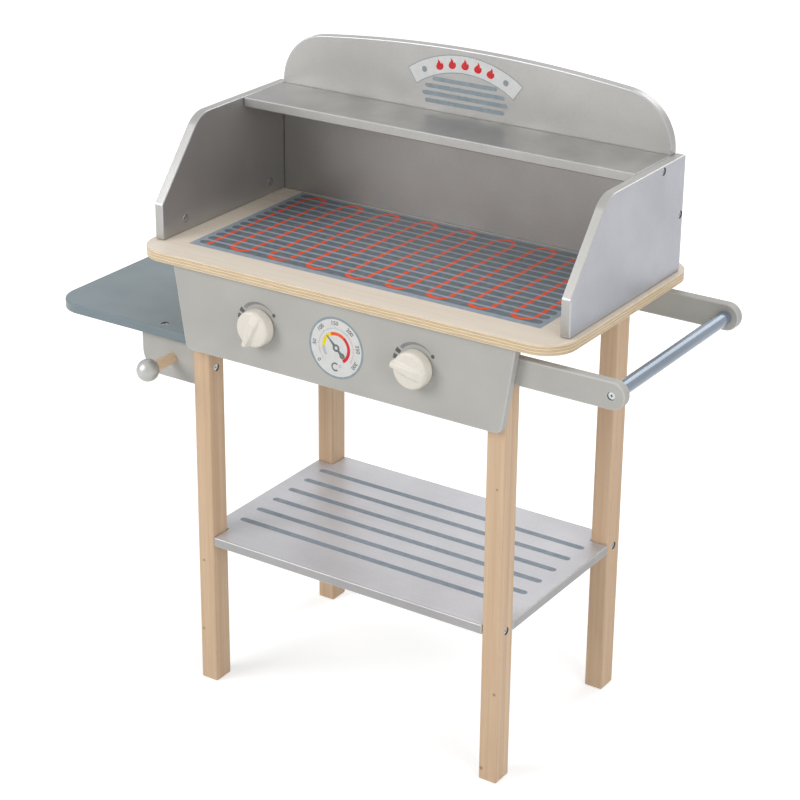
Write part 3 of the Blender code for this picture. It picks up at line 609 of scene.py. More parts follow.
ink_field = ink("ink_grate_field", tone(149, 161, 173))
ink_bar = ink("ink_grate_bar", tone(98, 108, 116))
ink_red = ink("ink_red", tone(240, 80, 22), FIRM)
ink_dark_red = ink("ink_dark_red", tone(206, 34, 42), FIRM)
ink_orange = ink("ink_orange", tone(236, 88, 30), FIRM)
ink_yellow = ink("ink_yellow", tone(230, 208, 4), FIRM)
ink_pale = ink("ink_pale", tone(216, 217, 215))
ink_ring = ink("ink_blue_grey", tone(140, 153, 161))
ink_light = ink("ink_light_grey", tone(184, 187, 190))
ink_scale = ink("ink_scale_grey", tone(133, 132, 134))
ink_block = ink("ink_block_grey", tone(86, 86, 85))
ink_needle = ink("ink_needle", tone(104, 113, 115))
ink_figure = ink("ink_figure_grey", tone(112, 114, 115))
ink_stripe = ink("ink_shelf_stripe", tone(138, 151, 165))


# Boards and legs


def make_legs():
    """Four legs with the screw holes that show."""
    for side, sign in SIDES.items():
        for row in ROWS:
            node = f"leg_{row}_{side}"
            screws = [(f"shelf_screw_{row}_{side}", (-sign, 0, 0))]
            if row == "front":
                screws += [(f"panel_screw_{level}_{side}", (0, -1, 0)) for level in LEVELS]
            if side == "right":
                screws += [(f"arm_screw_{level}_{row}", (1, 0, 0)) for level in LEVELS]
            else:
                screws.append((f"bracket_screw_{row}", (-1, 0, 0)))
            board(node, (leg_wood, leg_wood), plate(node, 2), 2, LEG_EDGE, bores(node, screws),
                  name=node + "_wood")


def make_table():
    """The plywood top."""
    board("table_top", (birch, birch), plate("table_top", 2, [TABLE_CORNER] * 4), 2,
          TABLE_EDGE, name="table_top_plywood")


def make_lower_shelf():
    """The lower shelf, notched round the legs."""
    low, high = span("lower_shelf")
    leg_low, leg_high = span("leg_front_right")
    notch = leg_low.x - FIT_GAP
    front = leg_high.y + FIT_GAP
    rear = high.y - front
    outline = [(-notch, 0), (notch, 0), (notch, front), (high.x, front), (high.x, rear), (notch, rear),
               (notch, high.y), (-notch, high.y), (-notch, rear), (low.x, rear), (low.x, front),
               (-notch, front)]
    # The top takes the lighter copy of the paint (painted light), the sides and underside the darker copy
    # (painted shade), and the rounded edges a middle tone (painted light) over flecks of wear.
    board("lower_shelf", (silver_side_painted_shade, silver_shelf_edge_painted_light), outline, 2, show=silver_streaked_painted_light)


def make_panel():
    """The tapered control panel."""
    low, high = span("control_panel")
    bottom = high.x - PANEL_FLARE
    outline = rounded([(-bottom, low.z, PANEL_CORNER), (bottom, low.z, PANEL_CORNER),
                       (high.x, high.z, 0), (low.x, high.z, 0)])
    board("control_panel", (grey, grey_edge_painted_highlight), outline, 1)


def make_hood():
    """The side panels, the back board with its crowned headboard, and the upper shelf."""
    for side, sign in SIDES.items():
        node = f"hood_side_{side}"
        low, high = span(node)
        outline = rounded([(low.y, low.z, 0), (high.y, low.z, 0), (high.y, high.z, 0),
                           (low.y + HOOD_SLOPE_RUN, high.z, HOOD_BEND),
                           (low.y, low.z + HOOD_LIP - FIT_GAP, 0)])
        screws = [(f"hood_screw_{part}_{side}", (-sign, 0, 0)) for part in HOOD_SCREWS]
        nuts = [(f"hood_barrel_nut_{row}_{side}", (sign, 0, 0)) for row in ROWS]
        # The right panel's outer face takes the cooler copy of the paint, painted cool light; the rounded
        # edges take the edge paint, worn and with a painted highlight.
        board(node, (silver, silver_edge_painted_highlight), outline, 0, BOARD_EDGE, bores(node, screws, nuts),
              silver_painted_cool_light if side == "right" else None)

    low, high = span("hood_back")
    crown_centre = high.z - CROWN_RADIUS
    shoulder = high.x - SHOULDER_RADIUS
    from_centre = CROWN_RADIUS - SHOULDER_RADIUS
    shoulder_height = crown_centre + math.sqrt(from_centre ** 2 - shoulder ** 2)
    turn = math.asin(shoulder / from_centre)
    upright = math.pi / 2
    right_arc = arc((shoulder, shoulder_height), SHOULDER_RADIUS, 0, upright - turn)
    crown_arc = arc((0, crown_centre), CROWN_RADIUS, upright - turn, upright + turn, CROWN_STEPS)
    left_arc = [(-u, v) for u, v in reversed(right_arc)]
    outline = [(low.x, low.z), (high.x, low.z)] + right_arc + crown_arc[1:-1] + left_arc
    # Rounded edges take the edge paint: flecks of wear and a painted highlight.
    board("hood_back", (silver, silver_edge_painted_highlight), outline, 1)
    # The upper shelf's top takes the darker copy of the paint and its rounded edges the darker side copy:
    # both painted shade.
    board("upper_shelf", (silver, silver_side_painted_shade), plate("upper_shelf", 2), 2,
          show=silver_painted_shade)


def make_towel_bar():
    """The two arms with round ends, and the bar between them."""
    for row in ROWS:
        node = f"handle_arm_{row}"
        low, high = span(node)
        radius = (high.z - low.z) / 2
        centre = (high.x - radius, (low.z + high.z) / 2)
        end = arc(centre, radius, -math.pi / 2, math.pi / 2)
        outline = [(low.x, low.z)] + end + [(low.x, high.z)]
        screws = [(f"bar_screw_{row}", (0, 1 if row == "front" else -1, 0))]
        board(node, (grey, grey_edge_painted_highlight), outline, 1, BOARD_EDGE, bores(node, screws))
    rod("handle_bar", (0, 1, 0), ROD_EDGE, bar_gloss)


def make_side_tray():
    """The tray, its brackets, and the peg with its ball."""
    screws = [(f"tray_screw_{row}", (0, 0, -1)) for row in ROWS]
    outline = plate("side_tray", 2, (TRAY_CORNER, 0, 0, TRAY_CORNER))
    board("side_tray", (blue_grey, blue_grey_edge), outline, 2, BOARD_EDGE,
          bores("side_tray", screws))
    for row in ROWS:
        node = f"tray_bracket_{row}"
        board(node, (grey, grey_edge_painted_highlight), plate(node, 1, (BRACKET_CORNER, 0, 0, 0)), 1)
    rod("utensil_peg", (0, -1, 0), 0, peg_wood)
    ball = middle("peg_ball")
    front = span("peg_ball")[0].y + BALL_RADIUS
    half_circle = arc((0, 0), BALL_RADIUS, -math.pi / 2, math.pi / 2, ROUND_SIDES // 2)
    profile = [(0, -BALL_RADIUS)] + half_circle[1:-1] + [(0, BALL_RADIUS)]
    turned_piece("peg_ball", "turned", profile, (ball.x, front, ball.z), (0, -1, 0), ball_paint)


# Knobs


def face_height(radius):
    """How far the knob's domed face stands from the panel at a distance from its axis."""
    sphere = (KNOB_FACE_EDGE ** 2 + KNOB_DOME ** 2) / (2 * KNOB_DOME)
    return KNOB_RIM + KNOB_DOME - sphere + math.sqrt(sphere ** 2 - radius ** 2)


def eased(share):
    """A share from 0 to 1 that starts and ends gently."""
    return share * share * (3 - 2 * share)


def grip_section(along, flare, inset):
    """One section across the grip, as (along, across, height from the panel)."""
    nose_share = (along + GRIP_TAIL) / (GRIP_NOSE + GRIP_TAIL)
    width = GRIP_TAIL_WIDTH + nose_share * (GRIP_NOSE_WIDTH - GRIP_TAIL_WIDTH)
    half = width / 2 - inset
    past = max(0.0, -along - GRIP_DROP_START) / (GRIP_TAIL - GRIP_DROP_START)
    top = GRIP_HEIGHT - inset - GRIP_DROP * eased(past)
    foot = face_height(min(math.hypot(along, half + flare), KNOB_FACE_EDGE)) - GRIP_SINK
    side = [(half + flare, GRIP_UNDERSIDE + inset)]
    for step in range(2 * GRIP_SEGMENTS + 1):
        share = step / (2 * GRIP_SEGMENTS)
        rise = (1 - math.cos(math.pi * share)) / 2
        side.append((half + flare - (flare + GRIP_SHOULDER) * share, foot + (top - foot) * rise))
    section = side + [(-across, height) for across, height in reversed(side)]
    return [(along, across, height) for across, height in section]


def flare_change(start, end, first, last):
    """The grip's stations strictly between two places, with its flare eased from one to another."""
    shares = [step / GRIP_SEGMENTS for step in range(1, GRIP_SEGMENTS)]
    return [(start + share * (end - start), first + eased(share) * (last - first), 0) for share in shares]


def grip_stations():
    """Where the grip's sections lie, as (along, flare, inset), with the feet faded out smoothly."""
    ends = arc((GRIP_ROUND, GRIP_ROUND), GRIP_ROUND, math.pi, 3 * math.pi / 2, GRIP_SEGMENTS)
    full = KNOB_FACE_EDGE - GRIP_FADE
    stations = [(-GRIP_TAIL + back, GRIP_DRAFT, inset) for back, inset in ends]
    stations += flare_change(GRIP_ROUND - GRIP_TAIL, -full, GRIP_DRAFT, GRIP_FLARE)
    count = 2 * GRIP_SEGMENTS
    stations += [(-full + 2 * full * step / count, GRIP_FLARE, 0) for step in range(count + 1)]
    stations += flare_change(full, KNOB_FACE_EDGE, GRIP_FLARE, GRIP_DRAFT)
    stations.append((KNOB_FACE_EDGE, GRIP_DRAFT, 0))
    stations += [(GRIP_NOSE - back, GRIP_DRAFT, inset) for back, inset in reversed(ends)]
    return stations


def make_knobs():
    """Both knobs at their turns in the photograph."""
    panel_front = span("control_panel")[0].y
    for side, turn in KNOB_TURNS.items():
        node = f"knob_{side}"
        axis = middle(f"knob_screw_{side}")
        out = pointing((axis.x, panel_front, axis.z), (0, -1, 0))
        rim = arc((KNOB_FACE_EDGE, KNOB_RIM - KNOB_EDGE), KNOB_EDGE, 0, math.pi / 2)
        shares = [FACE_FIRST - FACE_PITCH * step for step in range(FACE_RINGS)]
        face = [(KNOB_FACE_EDGE * share, face_height(KNOB_FACE_EDGE * share)) for share in shares]
        profile = [(0, KNOB_FOOT), (KNOB_RADIUS - BOARD_EDGE, KNOB_FOOT)]
        profile += [(KNOB_RADIUS, KNOB_FOOT + BOARD_EDGE)] + rim + face + [(0, face_height(0))]
        disc = turned(node + "_disc", profile, ROUND_SIDES, out)
        sections = []
        for station in grip_stations():
            section = grip_section(*station)
            flat = placed([point[:2] for point in section], (axis.x, axis.z), turn)
            sections.append([(x, panel_front - point[2], z) for (x, z), point in zip(flat, section)])
        grip = loft(node + "_grip", sections)
        mesh = worked(disc, added=grip, soften=KNOB_BLEND)
        piece(node + "_turned", mesh, knob_paint, node, f"{side}_knob")


# Fasteners


HEAD_RADIUS = 4.3
HEAD_CHAMFER, HEAD_CHAMFER_DEPTH = 0.25, 0.2
HEAD_RIM = 0.6
HEAD_CONE = 2.6
SHANK_RADIUS = 1.9
POINT_LENGTH, POINT_RADIUS = 3.0, 0.4
PAN_CROWN, PAN_RINGS = 0.55, 10
NUT_RADIUS = 4.5
RECESS_ABOVE, RECESS_FLARE = 0.5, 0.1
FLAT_RECESS, FLAT_TAPER = 1.9, 0.55
PAN_RECESS, PAN_TAPER = 0.75, 0.4
NUT_RECESS = 1.4

CROSS = [(0.45, 2.3), (0.45, 0.45), (2.3, 0.45), (2.3, -0.45), (0.45, -0.45), (0.45, -2.3),
         (-0.45, -2.3), (-0.45, -0.45), (-2.3, -0.45), (-2.3, 0.45), (-0.45, 0.45), (-0.45, 2.3)]
HEXAGON = arc((0, 0), 2.3, 0, 2 * math.pi, 6)[:-1]
SLOT = [(3.4, 0.55), (-3.4, 0.55), (-3.4, -0.55), (3.4, -0.55)]


def fastener(name, profile, outline, depth, taper):
    """A turned fastener with a driver recess, its axis along z and its head's top at z = 0."""
    levels = ((1.0 + RECESS_FLARE * taper, -RECESS_ABOVE), (1.0 - taper, depth))
    sections = [[(u * scale, v * scale, height) for u, v in outline] for scale, height in levels]
    recess = loft(name + "_recess", sections)
    mesh = worked(turned(name, profile, SCREW_SIDES, Matrix()), cutter=recess)
    for vert in mesh.vertices:
        vert.co -= ORIGIN
    return mesh


def flat_head(length):
    """A countersunk screw."""
    profile = [(0, 0), (HEAD_RADIUS - HEAD_CHAMFER, 0), (HEAD_RADIUS, HEAD_CHAMFER_DEPTH),
               (HEAD_RADIUS, HEAD_RIM), (SHANK_RADIUS, HEAD_CONE), (SHANK_RADIUS, length - POINT_LENGTH),
               (POINT_RADIUS, length), (0, length)]
    return fastener("flat_head_screw", profile, CROSS, FLAT_RECESS, FLAT_TAPER)


def pan_head(outline, radius, head, shank, length):
    """A screw or bolt with a low rounded head."""
    angles = [math.pi / 2 * step / PAN_RINGS for step in range(1, PAN_RINGS + 1)]
    crown = [(radius * math.sin(a), head * PAN_CROWN * (1 - math.cos(a))) for a in angles]
    profile = [(0, 0)] + crown + [(radius, head), (shank, head), (shank, length), (0, length)]
    return fastener("pan_head_screw", profile, outline, head * PAN_RECESS, PAN_TAPER)


def drive(node, mesh, direction, body="grill"):
    """Put a fine fastener in a CAD fastener's place."""
    place = pointing(world(entry(node, direction, middle(node))), direction)
    piece(node + "_fine", mesh, zinc, node, body, place)


def length_of(node, axis):
    """A node's length along an axis."""
    low, high = span(node)
    return high[axis] - low[axis]


def make_fasteners():
    """Every screw, bolt and nut."""
    leg_screw = flat_head(length_of("shelf_screw_front_left", 0))
    edge_screw = flat_head(length_of("tray_screw_front", 2))
    panel_screw = flat_head(length_of("panel_screw_lower_left", 1))
    knob_screw = pan_head(CROSS, radius=4.0, head=2.4, shank=SHANK_RADIUS,
                          length=length_of("knob_screw_left", 1))
    bolt = pan_head(HEXAGON, radius=5.0, head=3.0, shank=2.4, length=length_of("hood_bolt_front_left", 2))
    for side, sign in SIDES.items():
        for row in ROWS:
            drive(f"shelf_screw_{row}_{side}", leg_screw, (-sign, 0, 0))
            drive(f"hood_bolt_{row}_{side}", bolt, (0, 0, 1))
        for part in HOOD_SCREWS:
            drive(f"hood_screw_{part}_{side}", edge_screw, (-sign, 0, 0))
        for level in LEVELS:
            drive(f"panel_screw_{level}_{side}", panel_screw, (0, -1, 0))
        drive(f"knob_screw_{side}", knob_screw, (0, -1, 0), f"{side}_knob")
    for row in ROWS:
        for level in LEVELS:
            drive(f"arm_screw_{level}_{row}", leg_screw, (1, 0, 0))
        drive(f"bracket_screw_{row}", leg_screw, (-1, 0, 0))
        drive(f"tray_screw_{row}", edge_screw, (0, 0, -1))
        drive(f"bar_screw_{row}", edge_screw, (0, 1 if row == "front" else -1, 0))

    length = length_of("hood_barrel_nut_front_left", 0)
    profile = [(0, 0), (NUT_RADIUS - ROD_EDGE, 0), (NUT_RADIUS, ROD_EDGE), (NUT_RADIUS, length), (0, length)]
    nut = fastener("barrel_nut", profile, SLOT, NUT_RECESS, 0.0)
    for side, sign in SIDES.items():
        for row in ROWS:
            drive(f"hood_barrel_nut_{row}_{side}", nut, (sign, 0, 0))


# Prints


INK_LIFT = 0.06


class Print:
    """Flat ink on one plane, gathered into a single thin piece."""

    def __init__(self, name, finish, axis, plane, toward, layer=1):
        self.name = "print_" + name
        self.finish = finish
        self.axis = axis
        self.level = plane + toward * INK_LIFT * layer
        self.toward = toward
        self.shape = bmesh.new()

    def polygon(self, points):
        """One filled outline."""
        verts = [self.shape.verts.new(lay(self.axis, u, v, self.level)) for u, v in points]
        face = self.shape.faces.new(verts)
        face.normal_update()
        if face.normal[self.axis] * self.toward < 0:
            face.normal_flip()

    def strip(self, near, far):
        """A band between two lines of as many points."""
        for index in range(len(near) - 1):
            self.polygon([near[index], near[index + 1], far[index + 1], far[index]])

    def ring(self, centre, inner, outer, start=0.0, end=360.0):
        """A ring or part of one, between two angles in degrees."""
        start, end = math.radians(start), math.radians(end)
        self.strip(arc(centre, inner, start, end), arc(centre, outer, start, end))

    def disc(self, centre, radius):
        """A filled circle."""
        self.polygon(arc(centre, radius, 0, 2 * math.pi)[:-1])

    def capsule(self, centre, half_length, half_width):
        """A bar along u with round ends."""
        u, v = centre
        reach = half_length - half_width
        right = arc((u + reach, v), half_width, -math.pi / 2, math.pi / 2)
        left = arc((u - reach, v), half_width, math.pi / 2, 3 * math.pi / 2)
        self.polygon(right + left)

    def text(self, words, centre, height, turn, width, bold):
        """Figures, their middle at a point, turned anticlockwise by an angle in degrees."""
        curve = bpy.data.curves.new("figures", "FONT")
        curve.body = words
        curve.offset = bold
        thing = add_object("figures", curve)
        graph = bpy.context.evaluated_depsgraph_get()
        mesh = bpy.data.meshes.new_from_object(thing.evaluated_get(graph))
        bpy.data.objects.remove(thing, do_unlink=True)
        points = [vert.co.copy() for vert in mesh.vertices]
        low, high = [Vector((pick(p.x for p in points), pick(p.y for p in points))) for pick in (min, max)]
        scale = height / (high.y - low.y)
        shifted = [point.xy - (low + high) / 2 for point in points]
        flat = placed([(u * scale * width, v * scale) for u, v in shifted], centre, turn)
        for face in mesh.polygons:
            self.polygon([flat[index] for index in face.vertices])


def lay_down(*prints):
    """Make each print's piece."""
    for item in prints:
        mesh = to_mesh(item.name, item.shape, solid=False)
        mesh.materials.append(item.finish)
        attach(add_object(item.name, mesh), "grill")


GRATE_REACH = 235.6
GRATE_FRONT = 26.4
GRATE_BACK_GAP = 1.5
BAR_COUNT = 14
BAR_PITCH = 15.485
BAR_FIRST = 41.3
BAR_HALF = 5.5
BAR_REACH = 229.3
TRACK_PITCH = 26.92
TRACK_HALF = 2.65
TURN_RADIUS = 13.46
TURN_FRONT = 52.9
TURN_BACK = 230.8
LAST_COLUMN = 8
LINE_STEPS = 12
LINE_END_GAP = 0.01


def track_at(column, y):
    """Where the heating line's column lies across x at one y, or None past its turns."""
    x = column * TRACK_PITCH
    ahead = 1 if column % 2 else -1
    for past, partner in ((TURN_FRONT - y, ahead), (y - TURN_BACK, -ahead)):
        if past <= 0 or abs(column + partner) > LAST_COLUMN:
            continue
        outer, inner = TURN_RADIUS + TRACK_HALF, TURN_RADIUS - TRACK_HALF
        if past >= outer:
            return None
        turn_x = x + partner * TRACK_PITCH / 2
        near = math.sqrt(max(0.0, inner ** 2 - past ** 2))
        far = math.sqrt(outer ** 2 - past ** 2)
        return sorted((turn_x - partner * near, turn_x - partner * far))
    return [x - TRACK_HALF, x + TRACK_HALF]


def print_grate():
    """The printed cooking grate: a pale field, dark bars, and the red line that shows on the bars."""
    top = span("table_top")[1].z
    field = Print("grate_field", ink_field, 2, top, 1)
    bars = Print("grate_bars", ink_bar, 2, top, 1, 2)
    line = Print("heating_line", ink_red, 2, top, 1, 3)
    back = span("hood_back")[0].y - GRATE_BACK_GAP
    field.polygon([(-GRATE_REACH, GRATE_FRONT), (GRATE_REACH, GRATE_FRONT), (GRATE_REACH, back),
                   (-GRATE_REACH, back)])
    line_front = TURN_FRONT - TURN_RADIUS - TRACK_HALF + LINE_END_GAP
    line_back = TURN_BACK + TURN_RADIUS + TRACK_HALF - LINE_END_GAP
    for index in range(BAR_COUNT):
        y = BAR_FIRST + index * BAR_PITCH
        bars.capsule((0, y), BAR_REACH, BAR_HALF)
        for column in range(-LAST_COLUMN, LAST_COLUMN + 1):
            low, high = y - BAR_HALF, y + BAR_HALF
            if column != -LAST_COLUMN:
                low = max(low, line_front)
            if column != LAST_COLUMN:
                high = min(high, line_back)
            rows = [low + (high - low) * step / LINE_STEPS for step in range(LINE_STEPS + 1)]
            spans = [(track_at(column, row), row) for row in rows]
            spans = [(reach, row) for reach, row in spans if reach]
            line.strip(*[[(reach[end], row) for reach, row in spans] for end in (0, 1)])
    lay_down(field, bars, line)


STRIPE_COUNT = 6
STRIPE_FIRST = 59.5
STRIPE_PITCH = 33.49
STRIPE_REACH = 192.6
STRIPE_HALF = 4.5


def print_shelf_stripes():
    """Pale blue stripes with round ends on the lower shelf."""
    stripes = Print("shelf_stripes", ink_stripe, 2, span("lower_shelf")[1].z, 1)
    for index in range(STRIPE_COUNT):
        stripes.capsule((0, STRIPE_FIRST + index * STRIPE_PITCH), STRIPE_REACH, STRIPE_HALF)
    lay_down(stripes)


GAUGE = (0.0, 494.3)
GAUGE_FACE, GAUGE_RIM = 33.9, 36.6
GAUGE_ARC = (14.9, 18.8)
GAUGE_ARCS = (("low", ink_light, 182, 218), ("warm", ink_yellow, 114, 182), ("hot", ink_orange, 52, 114),
              ("top", ink_dark_red, -57, 52))
GAUGE_START = 219
TICK_COUNT, TICK_PITCH, TICK_HALF, FIRST_HOT_TICK = 61, 4.2, 0.5, 44
TICK_FOOT, TICK_SHORT, TICK_LONG = 22.4, 1.4, 2.6
TICKS_PER_FIGURE = 10
FIGURES = ("0", "50", "100", "150", "200", "250", "300")
FIGURE_RADIUS, FIGURE_HEIGHT, FIGURE_WIDTH, FIGURE_BOLD = 29.3, 5.0, 1.02, 0.024
UNIT_SHIFT, UNIT_INNER, UNIT_OUTER, UNIT_GAP = (-1.2, -22.8), 3.4, 5.3, 48
DEGREE_SHIFT, DEGREE_INNER, DEGREE_OUTER = (5.2, -20.8), 0.8, 1.9
POINTER_BOSS = (2.0, 4.6)
POINTER_ARMS = ((134.5, ((4.2, 1.8), (11.0, 1.1), (18.2, 0.6))),
                (-45, ((4.2, 1.5), (8.0, 1.9), (10.2, 3.4), (13.0, 3.3), (14.6, 2.0))))


def print_gauge():
    """The thermometer between the knobs, with its coloured arc, ticks, figures and pointer."""
    front = span("control_panel")[0].y

    def layer(name, finish, depth=2):
        return Print("gauge_" + name, finish, 1, front, -1, depth)

    rim = layer("rim", ink_ring, 1)
    rim.ring(GAUGE, GAUGE_FACE, GAUGE_RIM)
    face = layer("face", ink_pale, 1)
    face.disc(GAUGE, GAUGE_FACE)
    bands = []
    for name, finish, start, end in GAUGE_ARCS:
        bands.append(layer("arc_" + name, finish))
        bands[-1].ring(GAUGE, *GAUGE_ARC, start, end)
    ticks = layer("ticks", ink_figure)
    hot_ticks = layer("ticks_hot", ink_dark_red)
    for step in range(TICK_COUNT):
        angle = GAUGE_START - step * TICK_PITCH
        target = ticks if step < FIRST_HOT_TICK else hot_ticks
        length = TICK_SHORT if step % TICKS_PER_FIGURE else TICK_LONG
        target.ring(GAUGE, TICK_FOOT, TICK_FOOT + length, angle - TICK_HALF, angle + TICK_HALF)
    figures = layer("figures", ink_figure)
    for step, number in enumerate(FIGURES):
        angle = GAUGE_START - step * TICKS_PER_FIGURE * TICK_PITCH
        figures.text(number, around(GAUGE, FIGURE_RADIUS, angle), FIGURE_HEIGHT, angle - 90, FIGURE_WIDTH,
                     FIGURE_BOLD)
    unit = layer("unit", ink_needle)
    unit.ring(*placed([UNIT_SHIFT], GAUGE, 0), UNIT_INNER, UNIT_OUTER, UNIT_GAP, 360 - UNIT_GAP)
    degree = layer("degree", ink_light)
    degree.ring(*placed([DEGREE_SHIFT], GAUGE, 0), DEGREE_INNER, DEGREE_OUTER)
    pointer = layer("pointer", ink_needle, 3)
    pointer.ring(GAUGE, *POINTER_BOSS)
    for angle, sections in POINTER_ARMS:
        sides = [[(reach, half * sign) for reach, half in sections] for sign in (1, -1)]
        pointer.strip(*[placed(side, GAUGE, angle) for side in sides])
    lay_down(rim, face, *bands, ticks, hot_ticks, figures, unit, degree, pointer)


SCALE_STEPS = 40
SCALE_START, SCALE_SWEEP = 139, 94
SCALE_REACH, SCALE_CLOSING = 29.2, 2.3
SCALE_THICK, SCALE_THIN, SCALE_TAPER, SCALE_SLANT = 4.3, 0.35, 0.9, 2.5
SCALE_BLOCKS = ((149, 27.7, 6.4, 5.6), (166, 28.3, 5.2, 5.8))
SCALE_DOT, SCALE_DOT_ANGLE, SCALE_DOT_RADIUS = 26.8, 39.5, 2.3


def print_knob_scales():
    """The tapering crescent, two blocks and a dot around each knob."""
    front = span("control_panel")[0].y
    scales = Print("knob_crescents", ink_scale, 1, front, -1)
    blocks = Print("knob_blocks", ink_block, 1, front, -1)
    for side in SIDES:
        axis = middle(f"knob_screw_{side}")
        centre = (axis.x, axis.z)
        outer, inner = [], []
        for step in range(SCALE_STEPS + 1):
            share = step / SCALE_STEPS
            angle = SCALE_START - share * SCALE_SWEEP
            reach = SCALE_REACH - SCALE_CLOSING * share * share
            thickness = SCALE_THICK * (1 - share) ** SCALE_TAPER + SCALE_THIN
            outer.append(around(centre, reach, angle))
            inner.append(around(centre, reach - thickness, angle - SCALE_SLANT * (1 - share)))
        scales.strip(outer, inner)
        for angle, radius, width, half in SCALE_BLOCKS:
            blocks.ring(centre, radius - width / 2, radius + width / 2, angle - half, angle + half)
        blocks.disc(around(centre, SCALE_DOT, SCALE_DOT_ANGLE), SCALE_DOT_RADIUS)
    lay_down(scales, blocks)


BADGE_INNER, BADGE_OUTER, BADGE_REACH = 116.0, 136.0, 34.5
BADGE_CENTRE = (-4.0, 765.8 - BADGE_OUTER)
BADGE_RIM, BADGE_RIM_ANGLE = 1.0, 0.45
FLAME = [(0.0, -6.0), (3.0, -5.4), (5.0, -3.0), (5.2, 0.0), (4.0, 2.6), (2.6, 1.0), (1.8, 4.2), (-0.6, 7.2),
         (-1.0, 3.8), (-3.2, 1.8), (-5.0, -1.2), (-4.6, -3.8), (-2.6, -5.5)]
FLAME_PITCH = 8.0
BADGE_DOT_ANGLE, BADGE_DOT_RADIUS = 26.0, 3.6
BADGE_BARS = (44.0, 54.0, 58.0, 54.0)
BADGE_BAR_TOP, BADGE_BAR_PITCH, BADGE_BAR_HALF = 733.5, 9.0, 2.6


def print_badge():
    """A plain badge on the headboard: an arched pale band with flames, over four short bars."""
    front = span("hood_back")[0].y
    start, end = 90 - BADGE_REACH, 90 + BADGE_REACH
    rim = Print("badge_rim", ink_ring, 1, front, -1)
    rim.ring(BADGE_CENTRE, BADGE_INNER - BADGE_RIM, BADGE_OUTER + BADGE_RIM, start - BADGE_RIM_ANGLE,
             end + BADGE_RIM_ANGLE)
    band = Print("badge_band", ink_pale, 1, front, -1, 2)
    band.ring(BADGE_CENTRE, BADGE_INNER, BADGE_OUTER, start, end)
    flames = Print("badge_flames", ink_dark_red, 1, front, -1, 3)
    dots = Print("badge_dots", ink_ring, 1, front, -1, 3)
    middle_radius = (BADGE_INNER + BADGE_OUTER) / 2
    for step in range(-2, 3):
        angle = 90 - step * FLAME_PITCH
        flames.polygon(placed(FLAME, around(BADGE_CENTRE, middle_radius, angle), angle - 90))
    for step in (-1, 1):
        dots.disc(around(BADGE_CENTRE, middle_radius, 90 - step * BADGE_DOT_ANGLE), BADGE_DOT_RADIUS)
    bars = Print("badge_bars", ink_ring, 1, front, -1)
    for index, half in enumerate(BADGE_BARS):
        bars.capsule((BADGE_CENTRE[0], BADGE_BAR_TOP - index * BADGE_BAR_PITCH), half, BADGE_BAR_HALF)
    lay_down(rim, band, flames, dots, bars)


# Studio


AMBIENT = 0.42
FLOOR_REACH = 12
FLOOR_LOW, FLOOR_HIGH = (0.80, 0.80, 0.80, 1.0), (0.82, 0.82, 0.82, 1.0)
GLOW_NEAR, GLOW_FAR = 0.5, 2.5
GLOW_LOW, GLOW_HIGH = 0.47, 0.68


def seen_directly(tree):
    """1 for what the camera, a mirror or glass sees, and 0 for light on its way to the object."""
    path = add_node(tree, "ShaderNodeLightPath").outputs
    value = path["Is Camera Ray"]
    for ray in ("Is Glossy Ray", "Is Transmission Ray"):
        value = add_node(tree, "ShaderNodeMath", {0: value, 1: path[ray]}, operation="MAXIMUM").outputs[0]
    return value


def make_floor():
    """A pale floor that keeps the shadow and reads as white to the camera."""
    shape = bmesh.new()
    corners = ((-1, -1), (1, -1), (1, 1), (-1, 1))
    shape.faces.new([shape.verts.new((x * FLOOR_REACH, y * FLOOR_REACH, 0)) for x, y in corners])
    mesh = bpy.data.meshes.new("floor")
    shape.to_mesh(mesh)
    shape.free()
    finish = Finish("floor_white", 0.8)
    finish.shader.inputs["Specular IOR Level"].default_value = 0.0
    finish.use("Base Color", finish.mix(finish.noise(4, 3), FLOOR_LOW, FLOOR_HIGH))
    apart = finish.node("ShaderNodeVectorMath", {0: finish.place}, operation="LENGTH").outputs["Value"]
    glow = finish.spread(apart, GLOW_NEAR, GLOW_FAR, GLOW_LOW, GLOW_HIGH)
    finish.use("Emission Strength", finish.math("MULTIPLY", seen_directly(finish.tree), glow))
    finish.shader.inputs["Emission Color"].default_value = (1, 1, 1, 1)
    mesh.materials.append(finish.material)
    add_object("floor", mesh)


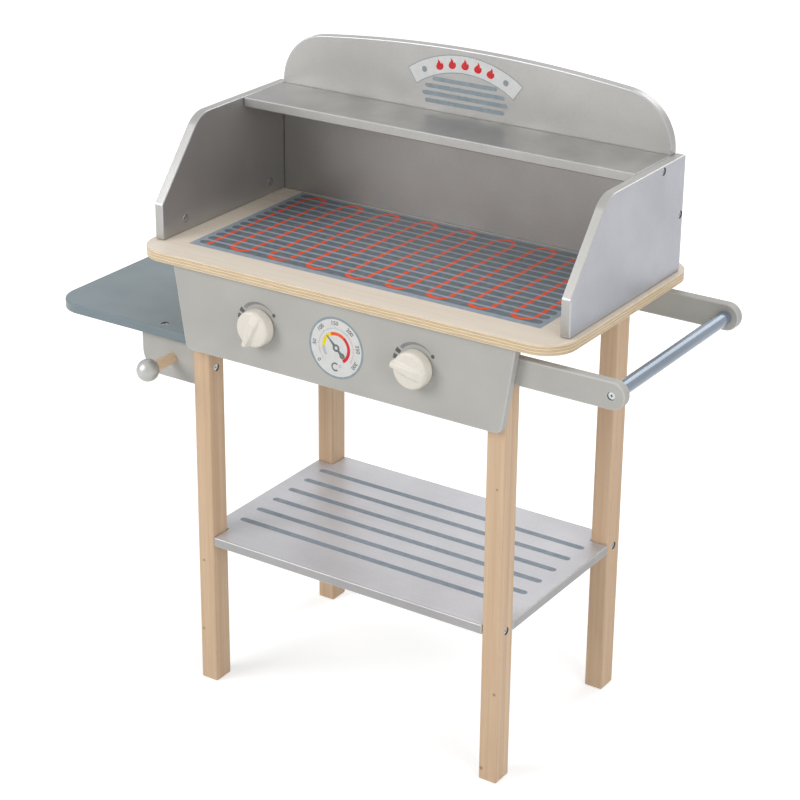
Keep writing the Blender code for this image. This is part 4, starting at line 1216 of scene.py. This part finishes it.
def make_world():
    """White to the camera and in reflections, and a plain level of soft light on the object."""
    surroundings = bpy.data.worlds.new("studio")
    bpy.context.scene.world = surroundings
    surroundings.use_nodes = True
    tree = surroundings.node_tree
    level = add_node(tree, "ShaderNodeMapRange", {"Value": seen_directly(tree), "To Min": AMBIENT,
                                                  "To Max": 1.0}).outputs["Result"]
    background = tree.nodes["Background"]
    background.inputs["Color"].default_value = (1, 1, 1, 1)
    tree.links.new(level, background.inputs["Strength"])


def make_lamp(name, place, target, size, power, mirrored=False):
    """One soft square lamp that looks at a point, with or without its image in glossy surfaces."""
    lamp = bpy.data.lights.new(name, "AREA")
    lamp.size = size
    lamp.energy = power
    thing = add_object(name, lamp)
    thing.visible_glossy = mirrored
    thing.location = place
    thing.rotation_euler = (Vector(target) - Vector(place)).to_track_quat("-Z", "Y").to_euler()


CAMERA_PLACE = (1303.8, -1880.91, 1432.15)
CAMERA_DIP, CAMERA_TURN = 0.3868, 0.6024


def make_camera():
    """The camera at the photograph's viewing angle."""
    lens = bpy.data.cameras.new("camera")
    lens.lens, lens.sensor_width = 100.25, 36.0
    lens.shift_x, lens.shift_y = 0.0625, -0.075
    lens.clip_start, lens.clip_end = 0.05, 60.0
    camera = add_object("camera", lens)
    camera.location = world(CAMERA_PLACE)
    camera.rotation_euler = (math.pi / 2 - CAMERA_DIP, 0, CAMERA_TURN)
    bpy.context.scene.camera = camera


AS_BUILT = {"leg_dowel": peg_wood, "knob_washer": zinc}


def finish_as_built():
    """Finishes for the dowels and washers, which keep their CAD form."""
    for node, thing in frame["nodes"].items():
        for prefix, finish in AS_BUILT.items():
            if node.startswith(prefix):
                if not thing.material_slots:
                    thing.data.materials.append(finish)
                for slot in thing.material_slots:
                    slot.material = finish


make_legs()
make_table()
make_lower_shelf()
make_panel()
make_hood()
make_towel_bar()
make_side_tray()
make_knobs()
make_fasteners()
print_grate()
print_shelf_stripes()
print_gauge()
print_knob_scales()
print_badge()
finish_as_built()

make_floor()
make_world()
make_lamp("key", (-1.5, -2.2, 1.9), (0, 0, 0.45), 1.6, 44, mirrored=True)
make_lamp("top", (0.1, 0.35, 3.0), (0, 0, 0.5), 1.6, 12)
make_lamp("fill", (2.2, -0.9, 1.4), (0, 0, 0.45), 1.6, 20)
make_lamp("back", (0.4, 2.0, 2.2), (0, 0, 0.5), 1.4, 14, mirrored=True)
make_camera()
bpy.context.scene.view_settings.view_transform = "Standard"
